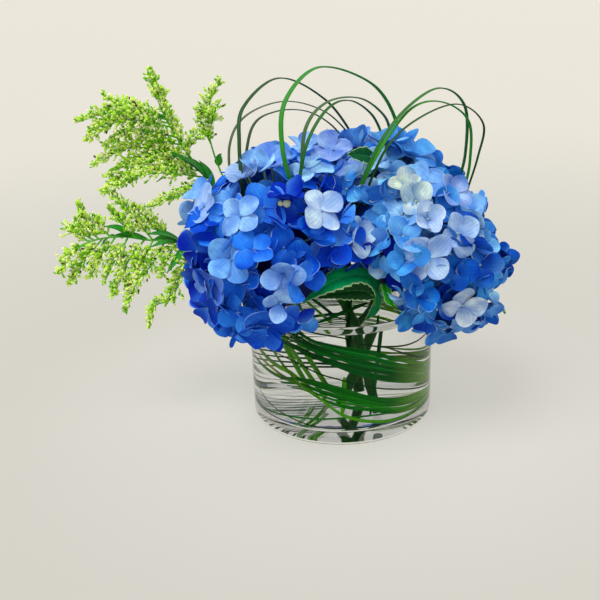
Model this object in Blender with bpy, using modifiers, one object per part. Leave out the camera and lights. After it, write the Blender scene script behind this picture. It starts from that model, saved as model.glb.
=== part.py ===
"""Three blue hydrangea heads with goldenrod and looped lily grass in a glass cylinder vase.

Metres, +Z up. The origin is the middle of the vase's underside, and the front of the bouquet faces -Y.
"""

import math
import random

import bmesh
import bpy
from mathutils import Matrix, Vector

# Driving dimensions (metres)
GAP = 0.0003            # clearance between two pieces that touch
VASE_RADIUS = 0.076
VASE_HEIGHT = 0.101
WALL = 0.0035
FLOOR = 0.010
INNER_CORNER = 0.005
FOOT_CORNER = 0.0025
WATER_TOP = 0.0925
WATER_LIP = 0.0035      # thickness of the water above the coiled grass
WATER_WAIST = 0.058     # radius of the water inside the coiled grass
COIL_FLOOR = 0.0185     # height where the coiled grass starts
TURN_STEPS = 40

STEM_RADIUS = 0.0045
FLORET_RADIUS = 0.0215
FLORET_THICKNESS = 0.0008
LAYERS = 3              # neighbouring florets lie at this many depths
LAYER_DEPTH = 0.0050
FLORET_TILT = 0.10      # how far a floret may lean off the dome
FLORET_DISH = 0.10      # how deep its middle lies, against its radius
FLORET_NOTCH = 0.68     # reach of the notches between its lobes
LOBE_SKEW = 0.03        # radians that a lobe's two corners are drawn together
PEDICEL_RADIUS = 0.0011
PEDICEL_ROOT = 0.86     # where in the core a pedicel starts
PEDICEL_FLARE = 1.3     # its foot's radius against its top's
STEM_SECTIONS = 7
STEM_SIDES = 2          # bevel resolution of a thick stem
FOOT_RISE = 1.4         # how much of a leaning stem's radius its foot is raised by
CURVE_STEPS = 12        # fine steps between two points of a route
GOLDEN_ANGLE = math.pi * (3 - math.sqrt(5))
HOLE_OVERRUN = 0.004    # the stems' holes in the water reach this much further than the stems
HOLE_TOP = 0.13         # and stop above the water here
CORNER_GROWTH = 1.5     # a grown piece's corner moves this much further than its faces
CUT_BLOCK = 0.4         # side of the block that cuts a head at a seam

# Each head: centre, axis of its dome, radius across, height above and below its centre
HEADS = {
    "left": dict(centre=(-0.046, -0.034, 0.147), axis=(-0.40, -0.30, 1.0), wide=0.078, up=0.078,
                 down=0.062, florets=33, spread=118, seed=4, colour=(0.03, 0.10, 0.62)),
    "right": dict(centre=(0.056, -0.010, 0.147), axis=(0.45, -0.15, 1.0), wide=0.083, up=0.073,
                  down=0.064, florets=33, spread=118, seed=9, colour=(0.19, 0.38, 0.78)),
    "back": dict(centre=(-0.002, 0.056, 0.158), axis=(0.0, 0.60, 1.0), wide=0.074, up=0.062,
                 down=0.055, florets=25, spread=120, seed=16, colour=(0.12, 0.20, 0.70)),
}
CORE_SHARE = 0.66       # the core's size against the head's

# Stems of the heads, from the vase's floor up into the core
STEMS = {
    "left": [(0.024, -0.030, 0), (0.015, -0.026, 0.055), (0.004, -0.022, 0.100),
             (-0.022, -0.026, 0.126), (-0.040, -0.031, 0.143)],
    "right": [(-0.001, -0.008, 0), (0.014, -0.011, 0.055), (0.029, -0.014, 0.100),
              (0.040, -0.011, 0.128), (0.052, -0.007, 0.146)],
    "back": [(0.010, 0.022, 0), (0.006, 0.028, 0.055), (0.003, 0.036, 0.100),
             (-0.002, 0.046, 0.130), (-0.002, 0.053, 0.150)],
}

LEAF_THICKNESS = 0.0009
LEAF_FOLD = 0.22        # rise of a leaf's edge against its half width
LEAF_NOTCH = 0.86       # half width between two teeth against that at a tooth
LEAF_BUTT = 0.0012      # half width where a leaf starts, and of its very tip
LEAF_POINT = 0.0004
PETIOLE_RADII = (0.0016, 0.0012)
PETIOLE_SINK = 0.002    # a leaf starts this far back in its petiole

# Leaves: the stem that carries each, its petiole's route, tip, half width and teeth a side
LEAVES = [
    dict(stem="right", petiole=[(0.030, -0.016, 0.104), (0.032, -0.030, 0.118), (0.029, -0.046, 0.127)],
         tip=(-0.030, -0.080, 0.118), width=0.019, teeth=7, facing=(0.05, -0.62, 0.78), droop=0.006),
    dict(stem="right", petiole=[(0.029, -0.016, 0.100), (0.032, -0.034, 0.108), (0.028, -0.048, 0.118)],
         tip=(0.040, -0.077, 0.107), width=0.008, teeth=5, facing=(0.75, -0.50, 0.45), droop=-0.003),
    dict(stem="right", petiole=[(0.031, -0.012, 0.103), (0.058, 0.000, 0.1065), (0.088, 0.002, 0.1045)],
         tip=(0.126, 0.000, 0.081), width=0.012, teeth=6, facing=(0.35, -0.10, 0.93), droop=0.004),
    dict(stem="back", petiole=[(0.003, 0.034, 0.100), (0.004, 0.014, 0.140), (0.009, 0.010, 0.196)],
         tip=(0.017, 0.024, 0.229), width=0.010, teeth=5, facing=(-0.30, -0.90, 0.30), droop=0.003),
]

# Looped blades: their routes over the flowers in millimetres, and width
GRASS = {
    "left_1": ([(-70, -56, 196), (-71, -53, 237), (-68, -36, 262), (-42, -8, 279), (-9, 23, 258),
                (12, 45, 227), (17, 52, 210)], 0.0034),
    "left_2": ([(-80, -42, 196), (-80, -37, 234), (-68, -17, 253), (-39, 10, 259), (-9, 36, 246),
                (11, 54, 223), (16, 62, 206)], 0.0024),
    "left_3": ([(-72, -34, 206), (-64, -22, 244), (-47, -3, 253), (-24, 23, 249), (-4, 48, 233),
                (10, 63, 212), (13, 69, 200)], 0.0026),
    "middle_1": ([(-30, -66, 196), (-39, -64, 236), (-36, -50, 268), (-11, -26, 288), (27, 1, 272),
                  (46, 16, 244), (50, 22, 214)], 0.0044),
    "middle_2": ([(-27, -46, 206), (-23, -42, 245), (-7, -26, 262), (18, -6, 262), (38, 11, 245),
                  (44, 20, 226), (45, 24, 214)], 0.0036),
    "middle_3": ([(-30, -58, 200), (-22, -53, 236), (-7, -35, 258), (10, -10, 261), (27, 8, 248),
                  (36, 22, 230), (39, 28, 214)], 0.0030),
    "right_1": ([(13, -44, 194), (32, -45, 235), (54, -33, 259), (79, -17, 269), (99, -3, 252),
                 (102, 9, 214), (97, 15, 186)], 0.0036),
    "right_2": ([(15, -40, 196), (34, -40, 232), (56, -32, 257), (80, -20, 259), (102, -4, 241),
                 (105, 4, 208), (102, 10, 184)], 0.0036),
    "right_3": ([(19, -41, 192), (37, -47, 232), (62, -37, 251), (92, -20, 257), (113, -5, 239),
                 (111, 3, 212), (104, 7, 184)], 0.0026),
}
BLADE_THICKNESS = 0.0007
BLADE_SECTIONS = 13
BLADE_TAPER = 0.35      # share of its width that a looped blade loses towards its end

# Coiled blades: tilted rings round the inside of the glass
# (first angle, last angle, mean height, rise, angle of the highest point, width)
COILS = [
    (-120, 180, 0.0600, 0.0235, -42, 0.0062),
    (-120, 160, 0.0525, 0.0235, -42, 0.0062),
    (-120, 140, 0.0450, 0.0230, -42, 0.0062),
    (-140, 80, 0.0380, 0.0215, -42, 0.0055),
    (-140, 60, 0.0320, 0.0180, -42, 0.0045),
    (-100, 120, 0.0245, 0.0030, -42, 0.0030),
]
# and short straight ones across them (first angle, last angle, their heights, width)
COIL_SLANTS = [
    (-60, 20, 0.082, 0.0235, 0.0055),
    (-60, -20, 0.072, 0.0400, 0.0040),
    (20, 100, 0.085, 0.0450, 0.0035),
]
COIL_RADIUS = 0.0708
COIL_ANGLE = 20         # degrees between a coiled blade's sections
COIL_STEP = 0.0001      # each coiled blade lies this much further out than the one before

# Goldenrod, in millimetres: main stem, side branches as (route, buds) and narrow leaves
GOLDENROD = {
    "upper": dict(
        stem=[(-18, 22, 0), (-34, 24, 55), (-51, 26, 103), (-82, 31, 150), (-104, 35, 186),
              (-123, 33, 214), (-137, 30, 241), (-143, 28, 258), (-147, 25, 278)],
        branches=[
            ([(-143, 29, 260), (-159, 27, 268), (-186, 24, 264)], 4),
            ([(-141, 29, 252), (-164, 22, 262), (-185, 20, 260), (-208, 18, 248)], 6),
            ([(-136, 30, 239), (-154, 23, 243), (-179, 20, 244), (-202, 18, 231)], 6),
            ([(-123, 33, 213), (-146, 32, 220), (-174, 30, 221), (-202, 28, 209)], 6),
            ([(-117, 34, 205), (-144, 27, 212), (-172, 22, 202), (-194, 20, 188)], 6),
            ([(-110, 34, 194), (-134, 22, 201), (-156, 14, 203), (-180, 8, 196)], 5),
            ([(-140, 28, 250), (-135, 24, 260), (-131, 20, 268)], 3),
        ],
        tip_buds=5,
        leaves=[([-100, 35, 180], [-136, 12, 190]), ([-108, 35, 192], [-132, 6, 222]),
                ([-92, 33, 168], [-126, 42, 176]), ([-118, 34, 206], [-154, 42, 190]),
                ([-128, 32, 224], [-112, 22, 248])],
        seed=21),
    "small": dict(
        stem=[(-8, 34, 0), (-26, 34, 55), (-44, 34, 103), (-74, 40, 152), (-96, 45, 190),
              (-106, 45, 225), (-105, 45, 252), (-94, 45, 272)],
        branches=[
            ([(-105, 45, 222), (-112, 42, 238), (-116, 40, 250)], 4),
            ([(-106, 45, 232), (-100, 40, 246), (-96, 38, 254)], 4),
        ],
        tip_buds=5,
        leaves=[([-102, 45, 206], [-118, 52, 234])],
        seed=33),
    "lower": dict(
        stem=[(-10, 6, 0), (-31, 7, 55), (-52, 9, 103), (-94, 11, 131), (-129, 10, 146), (-156, 7, 149),
              (-178, 2, 154), (-199, -2, 153), (-217, -7, 146), (-229, -10, 128)],
        branches=[
            ([(-198, -2, 153), (-207, -3, 168), (-211, -4, 184)], 5),
            ([(-204, -4, 151), (-216, 0, 156), (-224, 4, 164)], 3),
            ([(-154, 7, 148), (-167, 10, 166), (-180, 12, 180), (-190, 12, 192)], 6),
            ([(-144, 9, 147), (-152, -3, 134), (-168, -10, 116), (-177, -12, 95)], 7),
            ([(-135, 10, 146), (-144, -8, 136), (-152, -17, 114), (-156, -20, 88)], 7),
            ([(-162, 6, 150), (-174, -4, 134), (-187, -9, 107)], 6),
            ([(-192, -1, 153), (-207, -5, 139), (-223, -6, 117)], 5),
        ],
        tip_buds=5,
        leaves=[([-140, 9, 147], [-164, 22, 164]), ([-169, 4, 152], [-190, -4, 165]),
                ([-132, 10, 146], [-154, -12, 160]), ([-184, 0, 153], [-200, 16, 142])],
        seed=45),
}
GOLDENROD_STEM = 0.0017
GOLDENROD_TIP = 0.0008
BRANCH_RADIUS = 0.0010
BRANCH_TAPER = 0.45
BUD_RADIUS = 0.0023
BUD_LENGTH = 0.0070
BUD_FULLEST = 0.45      # where along a bud it is fullest
BUD_WALLS = (0, 1, 0, 1, 2, 1, 0, 3)    # side of the branch that each bud in turn grows from
BUD_LEAN = 0.6          # how far a bud leans along its branch
SPRAY_LEAF_WIDTHS = (0.0020, 0.0064, 0.0056, 0.0010)
SPRAY_LEAF_LIFT = 0.003
TOP_ROOT = 0.3          # share of the stem's last step that its budded top reaches back over


def clear_scene():
    for thing in list(bpy.data.objects):
        bpy.data.objects.remove(thing, do_unlink=True)


def make_collection(name):
    group = bpy.data.collections.new(name)
    bpy.context.scene.collection.children.link(group)
    return group


def material(name, colour, roughness, alpha=1.0):
    made = bpy.data.materials.new(name)
    made.use_nodes = True
    shader = made.node_tree.nodes["Principled BSDF"]
    shader.inputs["Base Color"].default_value = (*colour, 1.0)
    shader.inputs["Roughness"].default_value = roughness
    shader.inputs["Metallic"].default_value = 0.0
    shader.inputs["Alpha"].default_value = alpha
    if alpha < 1:
        shader.inputs["Transmission Weight"].default_value = 1.0
    return made


def add_object(name, mesh, group, surface=None):
    made = bpy.data.objects.new(name, mesh)
    group.objects.link(made)
    if surface:
        mesh.materials.clear()
        mesh.materials.append(surface)
    return made


def mesh_of(name, build):
    """A new mesh from the bmesh that build fills, with its faces pointing out."""
    shape = bmesh.new()
    build(shape)
    bmesh.ops.recalc_face_normals(shape, faces=shape.faces)
    mesh = bpy.data.meshes.new(name)
    shape.to_mesh(mesh)
    shape.free()
    return mesh


def arc(centre_x, centre_z, radius, start, end, steps):
    """Points along a round corner, with angles in degrees from +X towards +Z."""
    angles = [math.radians(start + (end - start) * i / steps) for i in range(steps + 1)]
    return [(centre_x + radius * math.cos(a), centre_z + radius * math.sin(a)) for a in angles]


def turned(name, profile, group, surface):
    """A solid of revolution, from a profile that runs down its outer side."""
    mesh = bpy.data.meshes.new(name)
    edges = [(i, i + 1) for i in range(len(profile) - 1)]
    mesh.from_pydata([(x, 0, z) for x, z in profile], edges, [])
    made = add_object(name, mesh, group, surface)
    screw = made.modifiers.new("turn", "SCREW")
    screw.steps = screw.render_steps = TURN_STEPS
    screw.use_merge_vertices = True
    screw.merge_threshold = 0.00001
    screw.use_smooth_shade = True
    return made


def apply_modifiers(thing):
    bpy.context.view_layer.update()
    shown = thing.evaluated_get(bpy.context.evaluated_depsgraph_get())
    mesh = bpy.data.meshes.new_from_object(shown)
    thing.modifiers.clear()
    thing.data = mesh


def keep_largest(mesh):
    """Keep only the largest body of a joined or cut mesh."""
    shape = bmesh.new()
    shape.from_mesh(mesh)
    left = set(shape.faces)
    bodies = []
    while left:
        body, front = set(), [left.pop()]
        while front:
            face = front.pop()
            body.add(face)
            for edge in face.edges:
                for other in edge.link_faces:
                    if other in left:
                        left.discard(other)
                        front.append(other)
        bodies.append(body)
    bodies.sort(key=len)
    for smaller in bodies[:-1]:
        bmesh.ops.delete(shape, geom=list(smaller), context="FACES")
    bmesh.ops.triangulate(shape, faces=shape.faces)
    shape.to_mesh(mesh)
    shape.free()


def fuse(target, pieces, label, operation="UNION"):
    """Join pieces to target, or cut them from it, in one Boolean, then remove them."""
    group = make_collection(label)
    for piece in pieces:
        for home in list(piece.users_collection):
            home.objects.unlink(piece)
        group.objects.link(piece)
    boolean = target.modifiers.new(label, "BOOLEAN")
    boolean.operation = operation
    boolean.operand_type = "COLLECTION"
    boolean.collection = group
    boolean.solver = "MANIFOLD"
    apply_modifiers(target)
    for piece in list(group.objects):
        bpy.data.objects.remove(piece, do_unlink=True)
    bpy.data.collections.remove(group)


def smooth_route(points, count):
    """Points evenly spaced along a smooth curve through the given ones."""
    knots = [Vector(p) for p in points]
    ends = [knots[0] * 2 - knots[1]] + knots + [knots[-1] * 2 - knots[-2]]
    fine = []
    for a, b, c, d in zip(ends, ends[1:], ends[2:], ends[3:]):
        for i in range(CURVE_STEPS):
            t = i / CURVE_STEPS
            fine.append(0.5 * (2 * b + (c - a) * t + (2 * a - 5 * b + 4 * c - d) * t ** 2
                               + (3 * b - a - 3 * c + d) * t ** 3))
    fine.append(knots[-1])
    lengths = [0.0]
    for here, after in zip(fine, fine[1:]):
        lengths.append(lengths[-1] + (after - here).length)
    route, at = [], 0
    for i in range(count):
        want = lengths[-1] * i / (count - 1)
        while at < len(fine) - 2 and lengths[at + 1] < want:
            at += 1
        step = lengths[at + 1] - lengths[at]
        route.append(fine[at].lerp(fine[at + 1], min(1.0, (want - lengths[at]) / step)))
    return route


def millimetres(points):
    return [Vector(p) * 0.001 for p in points]


def tube(name, route, radii, group, resolution=0):
    """A closed tube along a route: a poly curve with caps, made a welded mesh."""
    curve = bpy.data.curves.new(name, "CURVE")
    curve.dimensions = "3D"
    curve.bevel_depth = 1.0
    curve.bevel_resolution = resolution
    curve.use_fill_caps = True
    spline = curve.splines.new("POLY")
    spline.points.add(len(route) - 1)
    for point, place, radius in zip(spline.points, route, radii):
        point.co = (*place, 1.0)
        point.radius = radius
    wire = bpy.data.objects.new(name, curve)
    group.objects.link(wire)
    bpy.context.view_layer.update()
    mesh = bpy.data.meshes.new_from_object(wire.evaluated_get(bpy.context.evaluated_depsgraph_get()))
    bpy.data.objects.remove(wire, do_unlink=True)
    bpy.data.curves.remove(curve)
    shape = bmesh.new()
    shape.from_mesh(mesh)
    bmesh.ops.remove_doubles(shape, verts=shape.verts, dist=0.00001)
    bmesh.ops.recalc_face_normals(shape, faces=shape.faces)
    shape.to_mesh(mesh)
    shape.free()
    return add_object(name, mesh, group)


def taper(start, end, count):
    return [start + (end - start) * i / (count - 1) for i in range(count)]


def loft(shape, rings):
    """Join unlike rings of equal count with faces, and close both ends."""
    made = [[shape.verts.new(p) for p in ring] for ring in rings]
    count = len(made[0])
    for low, high in zip(made, made[1:]):
        for i in range(count):
            j = (i + 1) % count
            shape.faces.new((low[i], low[j], high[j], high[i]))
    shape.faces.new(made[0][::-1])
    shape.faces.new(made[-1])
    bmesh.ops.triangulate(shape, faces=shape.faces)


def blade_rings(route, widths, thickness, across):
    """Flat oblong sections along a route; across gives the width's direction at each point."""
    rings = []
    for i, place in enumerate(route):
        along = (route[min(i + 1, len(route) - 1)] - route[max(i - 1, 0)]).normalized()
        side = across(i)
        side = (side - along * side.dot(along)).normalized() * widths[i] / 2
        lift = along.cross(side).normalized() * thickness / 2
        rings.append([place - side - lift, place + side - lift, place + side + lift, place - side + lift])
    return rings


def blade(name, route, widths, thickness, across, group):
    rings = blade_rings(route, widths, thickness, across)
    return add_object(name, mesh_of(name, lambda shape: loft(shape, rings)), group)


def serrated_leaf(name, base, tip, facing, width, teeth, droop, group):
    """A leaf folded along its midrib, with a toothed edge and both faces split alike."""
    base, tip = Vector(base), Vector(tip)
    along = tip - base
    side = along.cross(Vector(facing)).normalized()
    up = side.cross(along).normalized()
    stations = teeth * 2
    lift = up * LEAF_THICKNESS / 2

    def half(t):
        return width * math.sin(math.pi * t ** 0.80) ** 0.75 * (1 - 0.20 * t)

    def build(shape):
        tops, bottoms = [], []
        for i in range(stations + 1):
            t = i / stations
            middle = base.lerp(tip, t) + up * droop * math.sin(math.pi * t)
            reach = max(half(t), LEAF_BUTT if i < stations else LEAF_POINT)
            if 0 < i < stations:
                reach *= 1.0 if i % 2 else LEAF_NOTCH
            rise = up * reach * LEAF_FOLD
            row = [middle - side * reach + rise, middle, middle + side * reach + rise]
            tops.append([shape.verts.new(p + lift) for p in row])
            bottoms.append([shape.verts.new(p - lift) for p in row])
        for rows, flip in ((tops, False), (bottoms, True)):
            for a, b in zip(rows, rows[1:]):
                for j in (0, 1):
                    halves = ((a[j], a[j + 1], b[j + 1]), (a[j], b[j + 1], b[j]))
                    for corners in halves:
                        shape.faces.new(corners[::-1] if flip else corners)
        for j in (0, 2):
            for i in range(stations):
                ring = (tops[i][j], tops[i + 1][j], bottoms[i + 1][j], bottoms[i][j])
                shape.faces.new(ring)
        for i in (0, stations):
            for j in (0, 1):
                shape.faces.new((tops[i][j], tops[i][j + 1], bottoms[i][j + 1], bottoms[i][j]))

    return add_object(name, mesh_of(name, build), group)


def head_frame(head):
    """Turns the head's own directions, with its dome along Z, into the bouquet's."""
    axis = Vector(head["axis"]).normalized()
    return axis.to_track_quat("Z", "Y").to_matrix()


def head_point(head, slope, turn, share=1.0):
    """A point of the head's surface, and the way out of it there."""
    tall = head["up"] if math.cos(slope) > 0 else head["down"]
    wide = head["wide"]
    local = Vector((wide * math.sin(slope) * math.cos(turn), wide * math.sin(slope) * math.sin(turn),
                    tall * math.cos(slope)))
    out = Vector((local.x / wide ** 2, local.y / wide ** 2, local.z / tall ** 2)).normalized()
    frame = head_frame(head)
    return Vector(head["centre"]) + frame @ local * share, frame @ out


def floret_mesh(name, draw):
    """A four-lobed floret about its own middle, facing +Z, its faces split alike above and below."""
    turn = draw.uniform(0, math.pi / 2)
    size = FLORET_RADIUS * draw.uniform(0.92, 1.08)
    lifts = [draw.uniform(-0.05, 0.13) for lobe in range(4)]

    def build(shape):
        made = bmesh.ops.create_circle(shape, cap_ends=True, cap_tris=True, segments=12, radius=1.0)
        for corner in made["verts"]:
            if corner.co.length < 0.5:
                corner.co.z = -FLORET_DISH * size
                continue
            angle = math.atan2(corner.co.y, corner.co.x)
            place = round(angle / (math.pi / 6)) % 12
            lobe = lifts[(place // 3) % 4]
            reach = (FLORET_NOTCH, 1.0, 1.0)[place % 3]
            lift = (-0.02, lobe + 0.05, lobe - 0.05)[place % 3]
            angle += (0, -LOBE_SKEW, LOBE_SKEW)[place % 3]
            corner.co = Vector((math.cos(angle + turn) * reach, math.sin(angle + turn) * reach, lift)) * size
        lower = bmesh.ops.extrude_face_region(shape, geom=shape.faces[:])
        for item in lower["geom"]:
            if isinstance(item, bmesh.types.BMVert):
                item.co.z -= FLORET_THICKNESS

    return mesh_of(name, build)


def stalk(name, root, top, group):
    """A three-sided pedicel from inside the core to the underside of its floret."""
    reach = top - root

    def build(shape):
        turn = reach.to_track_quat("Z", "Y").to_matrix().to_4x4()
        bmesh.ops.create_cone(shape, cap_ends=True, segments=3, radius1=PEDICEL_RADIUS * PEDICEL_FLARE,
                              radius2=PEDICEL_RADIUS, depth=reach.length,
                              matrix=Matrix.Translation(root + reach / 2) @ turn)

    return add_object(name, mesh_of(name, build), group)


def florets(head, name, group):
    """Florets with their stalks, spaced evenly round the dome by the golden angle."""
    draw = random.Random(head["seed"])
    lowest = math.cos(math.radians(head["spread"]))
    centre = Vector(head["centre"])
    pieces = []
    for i in range(head["florets"]):
        slope = math.acos(1 - (i + 0.5) / head["florets"] * (1 - lowest))
        place, out = head_point(head, slope, i * GOLDEN_ANGLE)
        place -= out * LAYER_DEPTH * (i % LAYERS)
        tilt = Vector([draw.uniform(-FLORET_TILT, FLORET_TILT) for axis in range(3)])
        facing = (out + tilt).normalized()
        flower = add_object(f"{name}_floret_{i}", floret_mesh(f"{name}_floret_{i}", draw), group)
        flower.matrix_world = Matrix.Translation(place) @ facing.to_track_quat("Z", "Y").to_matrix().to_4x4()
        root = centre.lerp(place, CORE_SHARE * PEDICEL_ROOT)
        top = place - facing * (FLORET_DISH * FLORET_RADIUS + FLORET_THICKNESS / 2)
        pieces += [flower, stalk(f"{name}_stalk_{i}", root, top, group)]
    return pieces


def head_core(head, name, group, surface):
    shape = bmesh.new()
    bmesh.ops.create_icosphere(shape, subdivisions=2, radius=1.0)
    frame = head_frame(head)
    for corner in shape.verts:
        tall = head["up"] if corner.co.z > 0 else head["down"]
        local = Vector((corner.co.x * head["wide"], corner.co.y * head["wide"], corner.co.z * tall))
        corner.co = Vector(head["centre"]) + frame @ local * CORE_SHARE
    mesh = bpy.data.meshes.new(name)
    shape.to_mesh(mesh)
    shape.free()
    return add_object(name, mesh, group, surface)


def half_space(name, point, away, group):
    """A block that fills everything past a plane, to cut one head where it presses on the next."""
    def build(shape):
        bmesh.ops.create_cube(shape, size=CUT_BLOCK)

    made = add_object(name, mesh_of(name, build), group)
    turned_to = away.to_track_quat("Z", "Y").to_matrix().to_4x4()
    made.matrix_world = Matrix.Translation(point + away * CUT_BLOCK / 2) @ turned_to
    return made


def seam(first, second):
    """The plane between two heads: a point of it and its direction, from first to second."""
    a, b = Vector(first["centre"]), Vector(second["centre"])
    share = first["wide"] / (first["wide"] + second["wide"])
    return a.lerp(b, share), (b - a).normalized()


def vase_plug(name, group):
    """The vase's outer cylinder, up to its rim, with a little clearance."""

    def build(shape):
        tall = VASE_HEIGHT + GAP
        bmesh.ops.create_cone(shape, cap_ends=True, segments=TURN_STEPS, radius1=VASE_RADIUS + 2 * GAP,
                              radius2=VASE_RADIUS + 2 * GAP, depth=tall,
                              matrix=Matrix.Translation((0, 0, tall / 2)))

    return add_object(name, mesh_of(name, build), group)


def vase_profile():
    inner = VASE_RADIUS - WALL
    lip = WALL / 2
    return ([(0, FLOOR)]
            + arc(inner - INNER_CORNER, FLOOR + INNER_CORNER, INNER_CORNER, -90, 0, 2)
            + arc(VASE_RADIUS - lip, VASE_HEIGHT - lip, lip, 180, 0, 4)
            + arc(VASE_RADIUS - FOOT_CORNER, FOOT_CORNER, FOOT_CORNER, 0, -90, 2)
            + [(0, 0)])


def water_profile():
    """The water's outline, drawn in at its waist, where the coiled grass lies against the glass."""
    outer = VASE_RADIUS - WALL - GAP
    bottom = FLOOR + GAP
    return ([(0, WATER_TOP), (outer, WATER_TOP), (outer, WATER_TOP - WATER_LIP),
             (WATER_WAIST, WATER_TOP - WATER_LIP - 0.001), (WATER_WAIST, COIL_FLOOR),
             (outer, COIL_FLOOR - 0.001)]
            + arc(outer - INNER_CORNER, bottom + INNER_CORNER, INNER_CORNER, 0, -90, 2)
            + [(0, bottom)])


def stem_route(points, count, radius):
    """A stem's route, its slanting cut end just clear of the vase's floor."""
    foot, above = Vector(points[0]), Vector(points[1])
    lean = math.hypot(above.x - foot.x, above.y - foot.y) / (above.z - FLOOR)
    foot.z = FLOOR + 2 * GAP + FOOT_RISE * radius * lean
    return smooth_route([foot] + [Vector(p) for p in points[1:]], count)


def stretched(route, length):
    """The same route, longer by length at both ends."""
    first = route[0] + (route[0] - route[1]).normalized() * length
    last = route[-1] + (route[-1] - route[-2]).normalized() * length
    return [first] + list(route[1:-1]) + [last]


def coil_route(first, last, height):
    """Angles and heights along a coiled blade."""
    count = max(2, round((last - first) / COIL_ANGLE)) + 1
    places = []
    for i in range(count):
        angle = first + (last - first) * i / (count - 1)
        places.append((math.radians(angle), height(angle, i / (count - 1))))
    return places


def coil_blades(group):
    """The blades wound inside the glass."""
    pieces = []
    rounds = []
    for first, last, middle, rise, peak, width in COILS:
        rounds.append((first, last, width,
                       lambda angle, t, m=middle, r=rise, p=peak: m + r * math.cos(math.radians(angle - p))))
    for first, last, start, end, width in COIL_SLANTS:
        rounds.append((first, last, width, lambda angle, t, a=start, b=end: a + (b - a) * t))
    for n, (first, last, width, height) in enumerate(rounds):
        radius = COIL_RADIUS + COIL_STEP * n
        rings = []
        for angle, tall in coil_route(first, last, height):
            out = Vector((math.sin(angle), -math.cos(angle), 0))
            half = Vector((0, 0, width / 2))
            deep = out * BLADE_THICKNESS / 2
            place = out * radius + Vector((0, 0, tall))
            rings.append([place - half - deep, place - half + deep, place + half + deep, place + half - deep])
        pieces.append(add_object(f"coil_{n}", mesh_of("coil", lambda shape: loft(shape, rings)), group))
    return pieces


def loop_blade(name, spec, group, grow=0.0):
    """A blade of grass looped over the flowers, its flat side across the loop's own plane."""
    points, width = spec
    route = smooth_route(millimetres(points), BLADE_SECTIONS)
    if grow:
        route = stretched(route, grow)
    across = (route[-1] - route[0]).cross(Vector((0, 0, 1))).normalized()
    last = len(route) - 1
    widths = [width * (1 - BLADE_TAPER * (i / last) ** 2) + 2 * grow for i in range(last + 1)]
    return blade(name, route, widths, BLADE_THICKNESS + 2 * grow, lambda i: across, group)


def budded_branch(name, points, buds, draw, group):
    """A four-sided branch whose buds are drawn out of its own faces, most on its upper side."""
    route = smooth_route(points, buds + 2)
    count = len(route) - 1

    def build(shape):
        rings = []
        for i, place in enumerate(route):
            along = (route[min(i + 1, count)] - route[max(i - 1, 0)]).normalized()
            side = along.cross(Vector((0, 0, 1))).normalized()
            rise = side.cross(along)
            radius = BRANCH_RADIUS * (1 - BRANCH_TAPER * i / count)
            rings.append([place + side * radius, place + rise * radius, place - side * radius,
                          place - rise * radius])
        made = [[shape.verts.new(p) for p in ring] for ring in rings]
        for i in range(count):
            along = (route[i + 1] - route[i]).normalized()
            walls = [shape.faces.new((made[i][j], made[i + 1][j], made[i + 1][(j + 1) % 4],
                                      made[i][(j + 1) % 4])) for j in range(4)]
            if i:
                draw_bud(shape, walls[BUD_WALLS[i % len(BUD_WALLS)]], along, draw)
        shape.faces.new(made[0])
        draw_bud(shape, shape.faces.new(made[-1][::-1]), (route[-1] - route[-2]).normalized(), draw)
        bmesh.ops.triangulate(shape, faces=shape.faces)

    return add_object(name, mesh_of(name, build), group)


def draw_bud(shape, face, along, draw):
    """Pull a face out into a bud, narrow at its foot and full at its middle, with a pointed tip."""
    face.normal_update()
    middle = face.calc_center_median()
    sway = Vector([draw.uniform(-0.15, 0.15) for axis in range(3)])
    out = (face.normal + along * BUD_LEAN + sway).normalized()
    size = draw.uniform(0.85, 1.15)
    rays = [(corner.co - middle).normalized() * 1.4 for corner in face.verts]
    across = face.normal.cross(along)
    if across.length > 0.5:     # on a side of the branch the bud's foot is long, and its middle square
        across.normalize()
        ahead = across.cross(face.normal)
        rays = [(across if ray.dot(across) > 0 else -across) + (ahead if ray.dot(ahead) > 0 else -ahead)
                for ray in rays]
    face = bmesh.ops.extrude_discrete_faces(shape, faces=[face])["faces"][0]
    for corner, ray in zip(face.verts, rays):
        corner.co = middle + (out * BUD_LENGTH * BUD_FULLEST + ray * BUD_RADIUS * 0.7) * size
    tip = bmesh.ops.poke(shape, faces=[face])["verts"][0]
    tip.co = middle + out * BUD_LENGTH * size


def goldenrod_route(spec):
    """The spray's main stem, up to where its budded top begins."""
    points = millimetres(spec["stem"][:-2])
    return stem_route(points, 2 * len(points), GOLDENROD_STEM)


def rooted(route, place, towards, draw):
    """Where a side branch starts: at its place on the stem, set back by up to half the stem's width."""
    best = None
    for here, after in zip(route, route[1:]):
        span = after - here
        t = min(1.0, max(0.0, (place - here).dot(span) / span.length_squared))
        found = here + span * t
        if best is None or (found - place).length < (best - place).length:
            best = found
    return best - (towards - best).normalized() * GOLDENROD_STEM * draw.uniform(0.0, 0.5)


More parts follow.
